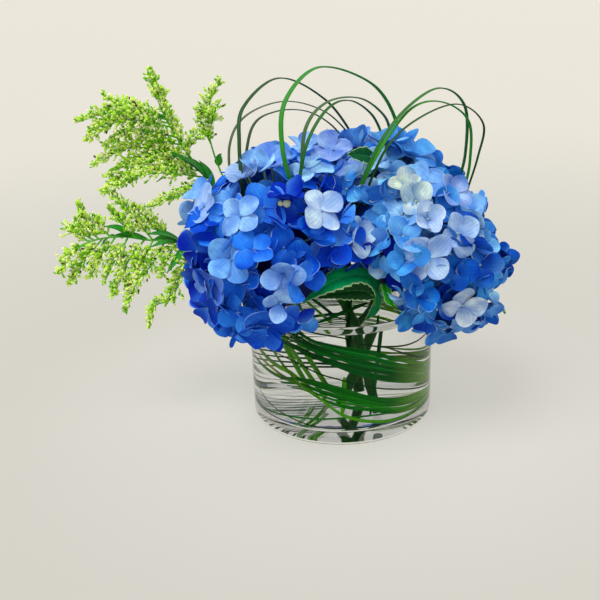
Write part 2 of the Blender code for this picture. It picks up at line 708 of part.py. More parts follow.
def goldenrod(name, spec, group, surface):
    draw = random.Random(spec["seed"])
    route = goldenrod_route(spec)
    stem = tube(name, route, taper(GOLDENROD_STEM, GOLDENROD_TIP, len(route)), group)
    stem.data.materials.append(surface)
    pieces = []
    for n, (points, count) in enumerate(spec["branches"]):
        points = millimetres(points)
        points[0] = rooted(route, points[0], points[1], draw)
        pieces.append(budded_branch(f"{name}_branch_{n}", points, count, draw, group))
    top = [route[-1].lerp(route[-2], TOP_ROOT)] + millimetres(spec["stem"][-2:])
    pieces.append(budded_branch(f"{name}_top", top, spec["tip_buds"], draw, group))
    for n, leaf in enumerate(spec["leaves"]):
        base, tip = millimetres(leaf)
        base = rooted(route, base, tip, draw)
        middle = base.lerp(tip, 0.5) + Vector((0, 0, SPRAY_LEAF_LIFT))
        path = smooth_route([base, middle, tip], len(SPRAY_LEAF_WIDTHS))
        across = (tip - base).cross(Vector((0.2, -0.5, 1))).normalized()
        pieces.append(blade(f"{name}_leaf_{n}", path, SPRAY_LEAF_WIDTHS, BLADE_THICKNESS,
                            lambda i: across, group))
    fuse(stem, pieces, f"{name}_parts")
    return stem


def leafy_stem(which, group, surface):
    name = f"hydrangea_stem_{which}"
    route = stem_route(STEMS[which], STEM_SECTIONS, STEM_RADIUS)
    stem = tube(name, route, [STEM_RADIUS] * len(route), group, STEM_SIDES)
    stem.data.materials.append(surface)
    pieces = []
    for n, leaf in enumerate(spec for spec in LEAVES if spec["stem"] == which):
        path = smooth_route(leaf["petiole"], STEM_SECTIONS)
        pieces.append(tube(f"{name}_petiole_{n}", path, taper(*PETIOLE_RADII, STEM_SECTIONS), group))
        base = path[-1] + (path[-2] - path[-1]).normalized() * PETIOLE_SINK
        pieces.append(serrated_leaf(f"{name}_leaf_{n}", base, leaf["tip"], leaf["facing"],
                                    leaf["width"], leaf["teeth"], leaf["droop"], group))
    if pieces:
        fuse(stem, pieces, f"{name}_parts")
    return stem


def grown_copy(name, thing, grow, group):
    """A copy of a piece, pushed out by the clearance, to cut its neighbours with."""
    shape = bmesh.new()
    shape.from_mesh(thing.data)
    shape.normal_update()
    moves = [(corner, corner.normal * grow * CORNER_GROWTH) for corner in shape.verts]
    for corner, move in moves:
        corner.co += move
    mesh = bpy.data.meshes.new(name)
    shape.to_mesh(mesh)
    shape.free()
    return add_object(name, mesh, group)


clear_scene()
bouquet = make_collection("hydrangea_vase")
cutters = make_collection("cutters")

glass = material("glass", (0.93, 0.96, 0.95), 0.03, 0.25)
water_surface = material("water", (0.90, 0.96, 0.97), 0.02, 0.25)
stem_green = material("stem_green", (0.13, 0.24, 0.06), 0.55)
goldenrod_green = material("goldenrod", (0.42, 0.48, 0.09), 0.65)
grass_green = material("grass", (0.05, 0.13, 0.05), 0.45)
coil_green = material("grass_coil", (0.02, 0.13, 0.03), 0.40)

turned("vase", vase_profile(), bouquet, glass)

# Stems and sprays
stems = {which: leafy_stem(which, bouquet, stem_green) for which in STEMS}
sprays = {which: goldenrod(f"goldenrod_{which}", spec, bouquet, goldenrod_green)
          for which, spec in GOLDENROD.items()}

# Looped grass
for which, spec in GRASS.items():
    made = loop_blade(f"grass_{which}", spec, bouquet)
    made.data.materials.append(grass_green)

# Coiled grass
coils = coil_blades(bouquet)
coil = coils[0]
coil.name = "grass_coil"
coil.data.materials.append(coil_green)
fuse(coil, coils[1:], "coil_parts")

# Water, with plain holes for the stems
water = turned("water", water_profile(), bouquet, water_surface)
apply_modifiers(water)
standing = [(stem_route(points, STEM_SECTIONS, STEM_RADIUS), STEM_RADIUS) for points in STEMS.values()]
standing += [(goldenrod_route(spec), GOLDENROD_STEM) for spec in GOLDENROD.values()]
holes = []
for n, (route, radius) in enumerate(standing):
    under = [place for place in stretched(route, HOLE_OVERRUN) if place.z < HOLE_TOP]
    holes.append(tube(f"hole_{n}", under, [radius + 2 * GAP] * len(under), cutters, STEM_SIDES))
fuse(water, holes, "water_holes", "DIFFERENCE")

# Heads
for which, head in HEADS.items():
    name = f"hydrangea_head_{which}"
    petals = material(f"petals_{which}", head["colour"], 0.6)
    made = head_core(head, name, bouquet, petals)
    fuse(made, florets(head, name, bouquet), f"{name}_parts")
    cuts = [vase_plug(f"{name}_vase", cutters)]
    for other, neighbour in HEADS.items():
        if other != which:
            point, away = seam(head, neighbour)
            cuts.append(half_space(f"{name}_{other}", point - away * GAP / 2, away, cutters))
    for loop, spec in GRASS.items():
        cuts.append(loop_blade(f"{name}_{loop}", spec, cutters, GAP))
    for thing in list(stems.values()) + list(sprays.values()):
        cuts.append(grown_copy(f"{name}_{thing.name}", thing, GAP, cutters))
    fuse(made, cuts, f"{name}_cuts", "DIFFERENCE")

# What a cut has parted from its head or spray goes
for thing in list(bouquet.objects):
    if thing.name != "vase":
        keep_largest(thing.data)
bpy.data.collections.remove(cutters)
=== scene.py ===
import math
import random

import bmesh
import bpy
from mathutils import Matrix, Vector, noise


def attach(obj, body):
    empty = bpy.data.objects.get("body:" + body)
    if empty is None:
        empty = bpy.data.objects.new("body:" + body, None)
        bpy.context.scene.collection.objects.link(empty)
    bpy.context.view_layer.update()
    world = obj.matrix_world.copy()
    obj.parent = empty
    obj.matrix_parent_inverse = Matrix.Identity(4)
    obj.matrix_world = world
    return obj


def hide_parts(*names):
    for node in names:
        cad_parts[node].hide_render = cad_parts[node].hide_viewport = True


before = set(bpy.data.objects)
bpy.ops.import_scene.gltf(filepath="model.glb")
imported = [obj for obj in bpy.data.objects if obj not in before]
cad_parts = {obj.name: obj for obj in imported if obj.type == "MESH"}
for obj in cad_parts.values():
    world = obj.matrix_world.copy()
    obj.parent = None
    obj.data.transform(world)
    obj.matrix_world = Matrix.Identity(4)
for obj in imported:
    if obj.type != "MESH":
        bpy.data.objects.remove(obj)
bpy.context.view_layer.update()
goldenAngle = math.pi * (3 - math.sqrt(5))
fullTurn = 6.28   # for drawn directions, where a whole turn needn't be exact
print("frame loaded with", len(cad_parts), "nodes")


# Camera, lights and floor

cameraSettings = {"place": (0.0, -0.695, 0.356), "yaw": 2.75, "pitch": 20.5, "roll": -2.16, "lens": 53.25}


def newObject(name, data):
    made = bpy.data.objects.new(name, data)
    bpy.context.scene.collection.objects.link(made)
    return made


def addCamera(settings):
    camera = newObject("viewCamera", bpy.data.cameras.new("viewCamera"))
    camera.data.lens = settings["lens"]
    turn = (Matrix.Rotation(math.radians(settings["yaw"]), 3, "Z")
            @ Matrix.Rotation(math.radians(90 - settings["pitch"]), 3, "X")
            @ Matrix.Rotation(math.radians(settings["roll"]), 3, "Z"))
    camera.location = settings["place"]
    camera.rotation_euler = turn.to_euler()
    bpy.context.scene.camera = camera


# where each lamp shines from, how wide it looks in degrees, its strength and colour
lightSettings = {
    "keyLight": ((-0.42, -0.38, 1.0), 36, 2.35, (1.0, 0.99, 0.97)),
    "backLight": ((0.25, 0.50, 0.90), 90, 1.00, (1.0, 0.985, 0.96)),
    "frontLight": ((0.40, -1.0, 0.50), 70, 0.60, (1.0, 0.99, 0.97)),
}


def addLight(name, place, angle, strength, colour):
    light = newObject(name, bpy.data.lights.new(name, "SUN"))
    light.data.angle = math.radians(angle)
    light.data.energy = strength
    light.data.color = colour
    light.visible_transmission = False   # its wide disc isn't seen through the glass
    light.location = Vector(place) * 2
    light.rotation_euler = Vector(place).to_track_quat("Z", "Y").to_euler()


roomSettings = {   # tones of the background by height, and of the floor by distance in metres; the floor's lighter tone under the vase is painted light against the flowers' shade
    "horizon": (0.83, 0.80, 0.71), "sky": (0.46, 0.45, 0.43), "horizonToSky": (0.08, 0.40),
    "under": (0.80, 0.785, 0.72), "near": (0.675, 0.66, 0.60), "far": (0.80, 0.77, 0.69),
    "underToNear": (0.05, 0.34), "nearToFar": (0.30, 1.50), "floorRadius": 16.0,
    "paint": 0.30, "glow": 0.56,   # the floor is a pale table lit from within
}


def addRoom(settings):
    world = bpy.data.worlds.new("studioWorld")
    world.use_nodes = True
    bpy.context.scene.world = world
    tree = world.node_tree
    way = addNode(tree, "ShaderNodeTexCoord").outputs["Generated"]
    height = addNode(tree, "ShaderNodeSeparateXYZ", {0: way}).outputs[2]
    risen = rangeOf(tree, height, *settings["horizonToSky"])
    backdrop = mixColour(tree, risen, settings["horizon"], settings["sky"])
    connect(tree, tree.nodes["Background"], {"Color": backdrop})
    surface, tree, shader = newSurface("floorPaint")
    away = addNode(tree, "ShaderNodeVectorMath", {0: objectPlace(tree)}, operation="LENGTH").outputs["Value"]
    tone = mixColour(tree, rangeOf(tree, away, *settings["nearToFar"]), settings["near"], settings["far"])
    # painted light: the floor turns lighter close under the vase, against the shade the flowers cast there
    tone = mixColour(tree, rangeOf(tree, away, *settings["underToNear"]), settings["under"], tone)
    grain = calculate(tree, "MULTIPLY", noiseOf(tree, scale=9.0, detail=4.0), 0.03)
    grained = mixColour(tree, grain, tone, (0.5, 0.5, 0.5))
    painted = mixColour(tree, 1.0, grained, [settings["paint"]] * 3, "MULTIPLY")
    connect(tree, shader, {"Base Color": painted, "Roughness": 0.7, "Specular IOR Level": 0.1,
                           "Emission Color": grained, "Emission Strength": settings["glow"]})
    disc = bmesh.new()
    bmesh.ops.create_circle(disc, cap_ends=True, segments=128, radius=settings["floorRadius"])
    floor = newObject("floor", asMesh(disc))
    floor.data.materials.append(surface)


# Material helpers

def newSurface(name):
    surface = bpy.data.materials.new(name)
    surface.use_nodes = True
    return surface, surface.node_tree, surface.node_tree.nodes["Principled BSDF"]


def connect(tree, node, inputs):   # an input takes a plain value, a colour or another node's output
    for key, value in inputs.items():
        socket = node.inputs[key]
        if isinstance(value, bpy.types.NodeSocket):
            tree.links.new(value, socket)
        else:
            socket.default_value = (*value, 1) if socket.type == "RGBA" else value


def addNode(tree, kind, inputs=None, **settings):
    made = tree.nodes.new(kind)
    for key, value in settings.items():
        setattr(made, key, value)
    connect(tree, made, inputs or {})
    return made


def objectPlace(tree):
    return addNode(tree, "ShaderNodeTexCoord").outputs["Object"]


def tintOf(tree):   # the colour given to each point
    return addNode(tree, "ShaderNodeAttribute", attribute_name="tint").outputs["Color"]


def spotOf(tree):   # where on its sheet a point lies: across, along, and the sheet's own mark, which on petals is the share of painted rim highlight
    spot = addNode(tree, "ShaderNodeAttribute", attribute_name="spot").outputs["Vector"]
    return list(addNode(tree, "ShaderNodeSeparateXYZ", {0: spot}).outputs)


def calculate(tree, operation, first, second=0.0, third=0.0):
    return addNode(tree, "ShaderNodeMath", {0: first, 1: second, 2: third}, operation=operation).outputs[0]


def rangeOf(tree, value, low, high, toLow=0.0, toHigh=1.0):
    inputs = {"Value": value, "From Min": low, "From Max": high, "To Min": toLow, "To Max": toHigh}
    return addNode(tree, "ShaderNodeMapRange", inputs, interpolation_type="SMOOTHSTEP").outputs[0]


def mixColour(tree, share, first, second, blend="MIX"):
    inputs = {0: share, 6: first, 7: second}
    return addNode(tree, "ShaderNodeMix", inputs, data_type="RGBA", blend_type=blend).outputs[2]


def timesColour(tree, share, first, second):
    return mixColour(tree, share, first, second, "MULTIPLY")


def noiseOf(tree, scale, detail):
    inputs = {"Vector": objectPlace(tree), "Scale": scale, "Detail": detail}
    return addNode(tree, "ShaderNodeTexNoise", inputs).outputs["Fac"]


def reliefOf(tree, height, strength, distance):
    inputs = {"Height": height, "Strength": strength, "Distance": distance}
    return addNode(tree, "ShaderNodeBump", inputs).outputs[0]


def blendWith(tree, shader, share, other):
    blend = addNode(tree, "ShaderNodeMixShader", {0: share, 1: shader.outputs[0], 2: other.outputs[0]})
    connect(tree, tree.nodes["Material Output"], {"Surface": blend.outputs[0]})


def coatOf(tree, shader, colour, roughness, shine, relief=None, through=0.0):   # thin growth lets light by
    connect(tree, shader, {"Base Color": colour, "Roughness": roughness, "Specular IOR Level": shine})
    if relief:
        connect(tree, shader, {"Normal": reliefOf(tree, *relief)})
    if through:
        blendWith(tree, shader, through, addNode(tree, "ShaderNodeBsdfTranslucent", {"Color": colour}))


# Mesh helpers

def mm(points):
    return [Vector(point) * 0.001 for point in points]


def throughPoints(points, count):   # evenly spaced places on a smooth line through the given points
    knots = [Vector(point) for point in points]
    ends = [knots[0] * 2 - knots[1]] + knots + [knots[-1] * 2 - knots[-2]]
    fine, steps = [], 16
    for a, b, c, d in zip(ends, ends[1:], ends[2:], ends[3:]):
        for i in range(steps):
            t = i / steps
            fine.append(0.5 * (2 * b + (c - a) * t + (2 * a - 5 * b + 4 * c - d) * t ** 2
                               + (3 * b - a - 3 * c + d) * t ** 3))
    fine.append(knots[-1])
    lengths = [0.0]
    for here, after in zip(fine, fine[1:]):
        lengths.append(lengths[-1] + (after - here).length)
    route, at = [], 0
    for i in range(count):
        want = lengths[-1] * i / (count - 1)
        while at < len(fine) - 2 and lengths[at + 1] < want:
            at += 1
        span = lengths[at + 1] - lengths[at]
        route.append(fine[at].lerp(fine[at + 1], min(1.0, (want - lengths[at]) / span)))
    return route


def lengthOf(points):
    return sum((after - here).length for here, after in zip(points, points[1:]))


def nearestOn(route, place):
    return min(route, key=lambda other: (other - place).length)


def directionAt(route, i):
    return (route[min(i + 1, len(route) - 1)] - route[max(i - 1, 0)]).normalized()


def between(low, high, share):
    return low + (high - low) * share


def mixOf(first, second, share):
    return tuple(between(a, b, share) for a, b in zip(first, second))


def lighter(tint, times):
    return tuple(value * times for value in tint)


def clamped(share):
    return min(1.0, max(0.0, share))


def tapered(start, end, count):
    return [between(start, end, i / (count - 1)) for i in range(count)]


def startPiece():
    return {"shape": bmesh.new(), "tints": []}


def addPart(piece, part, tint):   # tint is one colour, or a function of a vertex's number
    first = len(piece["tints"])
    piece["shape"].from_mesh(part)
    count = len(part.vertices)
    piece["tints"] += [tint(i) if callable(tint) else tint for i in range(count)]
    piece["shape"].verts.ensure_lookup_table()
    return piece["shape"].verts[first:first + count]


def asMesh(shape):
    mesh = bpy.data.meshes.new("part")
    shape.to_mesh(mesh)
    shape.free()
    return mesh


def placePiece(mesh, name, node, slotName, surface, sharpAngle=50):
    mesh.name = name
    mesh.shade_smooth()
    mesh.set_sharp_from_angle(angle=math.radians(sharpAngle))
    mesh.materials.append(surface)
    made = newObject(name, mesh)
    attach(made, "root")
    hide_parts(node)


def finishPiece(piece, *placing):   # the rest is what placePiece takes after the mesh
    mesh = asMesh(piece["shape"])
    tints = mesh.attributes.new("tint", "FLOAT_COLOR", "POINT")
    tints.data.foreach_set("color", [value for tint in piece["tints"] for value in (*tint, 1.0)])
    placePiece(mesh, *placing)


def shapedSheet(across, along, place, thickness, mark=0.0):   # place(s, t): s from -1 to 1, t from 0 to 1
    sheet = bmesh.new()
    spot = sheet.verts.layers.float_vector.new("spot")
    bmesh.ops.create_grid(sheet, x_segments=across, y_segments=along, size=1.0)
    for vert in sheet.verts:
        s, t = vert.co.x, (vert.co.y + 1) / 2
        vert[spot] = (s, t, mark)
        vert.co = place(s, t)
    bmesh.ops.remove_doubles(sheet, verts=sheet.verts, dist=0.000005)
    bmesh.ops.recalc_face_normals(sheet, faces=sheet.faces)
    sheet.normal_update()
    bmesh.ops.solidify(sheet, geom=sheet.faces[:], thickness=thickness)
    bmesh.ops.recalc_face_normals(sheet, faces=sheet.faces)
    return asMesh(sheet)


def foldedBlade(route, flat, halfAt, keel, thickness, mark):   # keel 1: edges on the route; 0: its middle
    last = len(route) - 1

    def place(s, t):
        i = round(t * last)
        along = directionAt(route, i)
        side = (flat - along * flat.dot(along)).normalized()
        half = halfAt(t)
        return route[i] + side * s * half + side.cross(along) * (abs(s) - keel) * half * 0.35
    return shapedSheet(4, last, place, thickness, mark)


def tubesMesh(tubes, resolution):   # closed round tubes; each is (places, radii)
    curve = bpy.data.curves.new("tubes", "CURVE")
    curve.dimensions = "3D"
    curve.bevel_depth = 1.0
    curve.bevel_resolution = resolution
    curve.use_fill_caps = True
    for places, radii in tubes:
        spline = curve.splines.new("POLY")
        spline.points.add(len(places) - 1)
        for point, place, radius in zip(spline.points, places, radii):
            point.co = (*place, 1.0)
            point.radius = radius
    wire = newObject("tubes", curve)
    bpy.context.view_layer.update()
    mesh = bpy.data.meshes.new_from_object(wire.evaluated_get(bpy.context.evaluated_depsgraph_get()))
    bpy.data.objects.remove(wire, do_unlink=True)
    bpy.data.curves.remove(curve)
    shape = bmesh.new()
    shape.from_mesh(mesh)
    bmesh.ops.remove_doubles(shape, verts=shape.verts, dist=0.000002)
    bmesh.ops.recalc_face_normals(shape, faces=shape.faces)
    return asMesh(shape)


# Vase and water

vaseSettings = {
    "radius": 0.076, "height": 0.101, "wall": 0.0035, "floor": 0.010, "innerCorner": 0.005, "steps": 128,
    "footCorner": 0.0025, "hollow": 0.0012,   # how far the underside is pushed up at its middle
    "footRing": (0.88, 0.80),   # where it starts to rise and has risen, as shares of the radius
    "waterTop": 0.0925, "waterSeat": 0.00015,   # how far the water reaches into the glass, to leave no gap
    "meniscus": 0.0016, "meniscusReach": 0.006,
    "glassLook": {"colour": (0.985, 0.995, 0.99), "index": 1.47, "edge": 0.06, "lamps": (0.86, 0.88, 0.87),
                  "waves": 22.0, "relief": (0.06, 0.0008), "smears": 0.03},
    "waterLook": {"colour": (0.99, 0.995, 0.985), "index": 1.333, "edge": 0.0, "lamps": (0.97, 0.98, 0.97),
                  "waves": 35.0, "relief": (0.05, 0.0006), "smears": 0.0},
}


def cornerArc(x, z, radius, start, end, steps):
    angles = [math.radians(between(start, end, i / steps)) for i in range(steps + 1)]
    return [(x + radius * math.cos(a), z + radius * math.sin(a)) for a in angles]


def turnedMesh(profile, steps):
    shape = bmesh.new()
    verts = [shape.verts.new((x, 0, z)) for x, z in profile]
    edges = [shape.edges.new(pair) for pair in zip(verts, verts[1:])]
    bmesh.ops.spin(shape, geom=verts + edges, cent=(0, 0, 0), axis=(0, 0, 1), dvec=(0, 0, 0),
                   angle=2 * math.pi, steps=steps, use_merge=True)
    bmesh.ops.remove_doubles(shape, verts=shape.verts, dist=0.00001)
    bmesh.ops.recalc_face_normals(shape, faces=shape.faces)
    return asMesh(shape)


def clearSurface(name, look):
    surface, tree, shader = newSurface(name)
    roughness = 0.0
    if look["smears"]:
        roughness = rangeOf(tree, noiseOf(tree, scale=60.0, detail=3.0), 0.5, 0.8, 0.0, look["smears"])
    relief = reliefOf(tree, noiseOf(tree, look["waves"], detail=1.0), *look["relief"])
    connect(tree, shader, {"Base Color": look["colour"], "Roughness": roughness, "IOR": look["index"],
                           "Transmission Weight": 1.0, "Specular Tint": [look["edge"]] * 3, "Normal": relief})
    # lamps reach what stands behind and inside the glass
    ray = addNode(tree, "ShaderNodeLightPath").outputs["Is Shadow Ray"]
    blendWith(tree, shader, ray, addNode(tree, "ShaderNodeBsdfTransparent", {"Color": look["lamps"]}))
    return surface


def makeVase(v):
    inner, lip, foot, corner = v["radius"] - v["wall"], v["wall"] / 2, v["footCorner"], v["innerCorner"]
    risen = [(v["radius"] * share, height) for share, height in zip(v["footRing"], (0.0, v["hollow"]))]
    outline = ([(0, v["floor"])]
               + cornerArc(inner - corner, v["floor"] + corner, corner, -90, 0, 8)
               + cornerArc(v["radius"] - lip, v["height"] - lip, lip, 180, 0, 12)
               + cornerArc(v["radius"] - foot, foot, foot, 0, -90, 6) + risen + [(0, v["hollow"])])
    glass = clearSurface("clearGlass", v["glassLook"])
    placePiece(turnedMesh(outline, v["steps"]), "glassVase", "vase", "glass", glass, 35)
    wet = inner + v["waterSeat"]
    bottom = v["floor"] - v["waterSeat"]
    rise = [(wet - v["meniscusReach"] * (1 - i / 8), v["waterTop"] + v["meniscus"] * (i / 8) ** 3)
            for i in range(9)]
    outline = ([(0, v["waterTop"])] + rise
               + cornerArc(wet - corner, bottom + corner, corner, 0, -90, 8) + [(0, bottom)])
    water = clearSurface("vaseWater", v["waterLook"])
    placePiece(turnedMesh(outline, v["steps"]), "vaseWater", "water", "water", water)


# Hydrangea heads

headSettings = {   # petals: colours from deep to pale with their shares; buds: places and radii in mm
    "left": {"centre": (-0.046, -0.034, 0.147), "axis": (-0.4, -0.3, 1.0), "wide": 0.078, "up": 0.078,
             "down": 0.062, "florets": 158, "scale": 0.97, "spread": 122, "seed": 4,
             "pressed": [((-0.98, -0.1, 0.1), 0.068), ((-0.85, -0.1, -0.51), 0.067)], "slot": "petals_blue",
             "petals": [((0.0006, 0.012, 0.42), 0.2), ((0.002, 0.056, 0.64), 0.31),
                        ((0.007, 0.16, 0.85), 0.25), ((0.08, 0.36, 0.94), 0.16), ((0.34, 0.64, 0.98), 0.08)],
             "pale": (0.46, 0.7, 1.0), "bead": (0.16, 0.36, 0.72),
             "buds": [((-36, -87, 201), 3.3), ((-40.5, -86, 201), 2.3)]},
    "right": {"centre": (0.056, -0.01, 0.147), "axis": (0.45, -0.15, 1.0), "wide": 0.083, "up": 0.073,
              "down": 0.064, "florets": 192, "scale": 0.9, "spread": 122, "seed": 9,
              "pressed": [((0.86, -0.1, 0.5), 0.058), ((0.5, -0.06, 0.864), 0.06)], "slot": "petals_sky",
              "petals": [((0.002, 0.04, 0.42), 0.17), ((0.009, 0.18, 0.66), 0.25),
                         ((0.05, 0.34, 0.82), 0.26), ((0.18, 0.52, 0.93), 0.2), ((0.44, 0.72, 0.98), 0.12)],
              "pale": (0.56, 0.76, 0.98), "bead": (0.5, 0.62, 0.5),
              "buds": [((100, -70, 133), 2.4), ((106, -66, 136), 1.8), ((58, -82, 142), 2.0),
                       ((62, -82, 134), 1.7)]},
    "back": {"centre": (-0.002, 0.056, 0.158), "axis": (0.0, 0.6, 1.0), "wide": 0.074, "up": 0.062,
             "down": 0.055, "florets": 130, "scale": 0.95, "spread": 124, "seed": 16, "pressed": [],
             "slot": "petals_periwinkle",
             "petals": [((0.001, 0.022, 0.44), 0.18), ((0.004, 0.1, 0.74), 0.28),
                        ((0.035, 0.28, 0.88), 0.26), ((0.15, 0.45, 0.95), 0.18), ((0.36, 0.62, 0.97), 0.1)],
             "pale": (0.5, 0.7, 0.98), "bead": (0.3, 0.44, 0.66), "buds": []},
}
floretSettings = {
    "sepal": 0.0172, "halfWidth": 0.50,   # a sepal's length, and half its width against that
    "thickness": 0.00034, "layer": 0.0062, "surfaceShare": 0.95, "tilt": 0.62, "surfacePatch": 24.0,
    "coreShare": 0.60, "paintedShadeCoreColour": (0.0006, 0.004, 0.085), "stalkColour": (0.12, 0.30, 0.20),
    # upward: florets that face up pick a paler colour, painted light from above
    "stalkRadius": 0.0008, "vaseGap": 0.0012, "beadRadius": 0.0013, "upward": 0.24, "roomAround": 0.0095,
    "openings": (-0.05, 0.05, 0.15, 0.30, 0.45, 0.65, 0.85), "sizes": (0.82, 1.10), "patches": (-0.30, 0.30),
    # each sepal carries painted shade on one side, painted light on the other and a painted highlight on its
    # rim
    "lengths": (0.86, 1.10), "rises": (-0.16, 0.20), "turns": (-0.14, 0.14), "depths": (0.2, 1.0),
    "claws": (-0.6, 0.3), "paintedLightShares": (0.0, 0.45), "paintedRimHighlights": (-0.4, 1.1),
    "bends": (-0.90, 0.65), "leastBend": 0.12, "cups": (-0.15, 0.72), "waves": (0.02, 0.075),
    "twists": (-0.40, 0.40), "broad": (0.88, 1.10), "budColour": (0.80, 0.86, 0.50),
    "paling": (-0.05, 0.13), "paintedShadeFactors": (0.25, 0.45, 0.80), "overlap": (0.0007, 0.0008),
}
# florets that stand out: a place in mm, size, colour, how far open, and how far round they are turned
showFlorets = {
    "left": [
        ((-12, -82, 194), 1.04, (0.58, 0.74, 0.92), 0.2, 0.5),
        ((11, -75, 172), 1.02, (0.5, 0.68, 0.9), 0.55, 0.2),
        ((-69, -88, 193), 0.95, (0.28, 0.52, 0.92), 0.3, 0.9),
        ((-98, -60, 194), 0.95, (0.36, 0.55, 0.92), 0.25, 0.3),
        ((-76, -100, 165), 0.98, (0.16, 0.42, 0.91), 0.3, 0.7),
        ((-39, -108, 155), 0.92, (0.28, 0.5, 0.92), 0.45, 0.1),
        ((-42, -107, 134), 0.9, (0.3, 0.5, 0.9), 0.5, 1.1),
        ((-91, -93, 144), 1.0, (0.2, 0.38, 0.93), 0.2, 0.6),
        ((-53, -99, 113), 1.18, (0.006, 0.08, 0.62), 0.12, 0.4),
        ((-49, -41, 222), 1.1, (0.2, 0.4, 0.92), 0.1, 0.8),
        ((-66, -56, 216), 0.9, (0.42, 0.6, 0.86), 0.35, 0.2),
        ((-73, -96, 123), 0.95, (0.02, 0.2, 0.8), 0.2, 0.5),
        ((-98, -82, 122), 0.95, (0.003, 0.05, 0.58), 0.2, 0.9),
        ((-15, -84, 158), 1.0, (0.001, 0.014, 0.4), 0.35, 0.3),
        ((-8, -62, 144), 1.0, (0.001, 0.014, 0.4), 0.5, 0.8),
        ((4, -80, 167), 1.08, (0.006, 0.1, 0.78), 0.15, 0.75),
        ((-27, -80, 113), 0.95, (0.008, 0.13, 0.66), 0.2, 0.5),
    ],
    "right": [
        ((64, -88, 159), 1.12, (0.46, 0.63, 0.94), 0.05, 0.75),
        ((50, -58, 204), 0.8, (0.66, 0.76, 0.66), 0.6, 0.1),
        ((56, -68, 195), 0.86, (0.62, 0.76, 0.74), 0.55, 0.9),
        ((64, -76, 184), 0.84, (0.6, 0.74, 0.92), 0.6, 0.4),
        ((85, -76, 173), 0.98, (0.46, 0.64, 0.92), 0.25, 0.3),
        ((67, -48, 204), 1.02, (0.2, 0.44, 0.88), 0.12, 0.6),
        ((91, -74, 117), 0.95, (0.58, 0.68, 0.8), 0.2, 0.2),
        ((39, -84, 118), 0.92, (0.02, 0.2, 0.76), 0.1, 0.5),
        ((47, -87, 135), 1.05, (0.015, 0.15, 0.66), 0.15, 1.0),
        ((85, -50, 196), 0.95, (0.4, 0.56, 0.9), 0.2, 0.8),
        ((14, -16, 207), 1.0, (0.3, 0.48, 0.93), 0.15, 0.3),
        ((80, -52, 88), 1.0, (0.04, 0.2, 0.6), 0.3, 0.3),
        ((96, -54, 95), 0.95, (0.2, 0.42, 0.82), 0.2, 0.9),
        ((68, -60, 98), 0.95, (0.06, 0.26, 0.68), 0.35, 0.6),
        ((110, -50, 106), 0.95, (0.13, 0.36, 0.8), 0.2, 0.1),
        ((31, -75, 161), 1.1, (0.001, 0.014, 0.38), 0.3, 0.2),
        ((36, -64, 145), 1.0, (0.002, 0.022, 0.4), 0.5, 0.6),
        ((50, 0, 223), 1.0, (0.06, 0.3, 0.77), 0.45, 0.3),
        ((60, 0, 214), 1.0, (0.25, 0.5, 0.9), 0.3, 0.8),
        ((70, -4, 207), 0.95, (0.04, 0.25, 0.75), 0.5, 0.1),
        ((38, 5, 225), 0.95, (0.1, 0.36, 0.85), 0.4, 0.6),
        ((59, -14, 217), 1.0, (0.09, 0.38, 0.86), 0.4, 0.5),
        ((46, -64, 124), 1.0, (0.006, 0.09, 0.56), 0.1, 0.6),
        ((57, 24, 212), 1.0, (0.05, 0.3, 0.8), 0.3, 0.2),
    ],
    "back": [((-3, 20, 217), 1.1, (0.34, 0.5, 0.93), 0.1, 0.5)],
}
# where no petal goes, as two ends and a radius in mm
keptOpen = [((-6, -70, 104), (27, -66, 106), 16), ((16, -60, 116), (2, -62, 116), 16),
            ((16, -78, 118), (-10, -97, 120), 15), ((19, -26, 221), (18, -50, 229), 7)]
templateGrid, templateThickness = 5, 0.1


def sepalTemplate():   # one flat round sepal, narrower towards its foot; every floret bends its own four
    def place(s, t):
        v = 2 * t - 1
        x, y = s * math.sqrt(1 - v * v / 2), v * math.sqrt(1 - s * s / 2)
        reach = (y + 1) / 2
        return (x * (0.50 + 0.50 * min(1.0, reach / 0.45)), reach + 0.05 * max(0.0, y) ** 4 * (1 - abs(x)), 0)
    return shapedSheet(templateGrid, templateGrid, place, templateThickness)


def petalSurface(name, paintedRimHighlightColour):
    surface, tree, shader = newSurface(name)
    s, t, paintedRimHighlightShare = spotOf(tree)
    lines = addNode(tree, "ShaderNodeCombineXYZ", {0: s, 1: calculate(tree, "MULTIPLY", t, 0.30)})
    veins = addNode(tree, "ShaderNodeTexWave", {"Vector": lines.outputs[0], "Scale": 1.0, "Distortion": 1.4,
                                                "Detail": 1.0, "Detail Scale": 1.5}).outputs["Fac"]
    colour = timesColour(tree, rangeOf(tree, veins, 0.0, 0.45, 0.35, 0.0), tintOf(tree), (0.66, 0.66, 0.86))
    patches = noiseOf(tree, scale=95.0, detail=2.0)
    colour = timesColour(tree, rangeOf(tree, patches, 0.42, 0.68, 0.0, 0.65), colour, (0.40, 0.62, 0.90))
    colour = timesColour(tree, rangeOf(tree, patches, 0.30, 0.50, 0.6, 0.0), colour, (1.6, 1.6, 1.25))
    tip = calculate(tree, "MULTIPLY_ADD", t, 2.0, -1.0)
    # pale edges and tip: a painted highlight along the rim
    edge = rangeOf(tree, calculate(tree, "MAXIMUM", calculate(tree, "ABSOLUTE", s), tip), 0.86, 1.0)
    colour = mixColour(tree, calculate(tree, "MULTIPLY", edge, paintedRimHighlightShare), colour, paintedRimHighlightColour)
    grain = calculate(tree, "MULTIPLY", noiseOf(tree, scale=900.0, detail=2.0), 0.3)
    relief = (calculate(tree, "ADD", veins, grain), 0.30, 0.0004)
    coatOf(tree, shader, colour, roughness=0.55, shine=0.06, relief=relief, through=0.20)
    return surface


def headTurn(head):
    return Vector(head["axis"]).normalized().to_track_quat("Z", "Y").to_matrix()


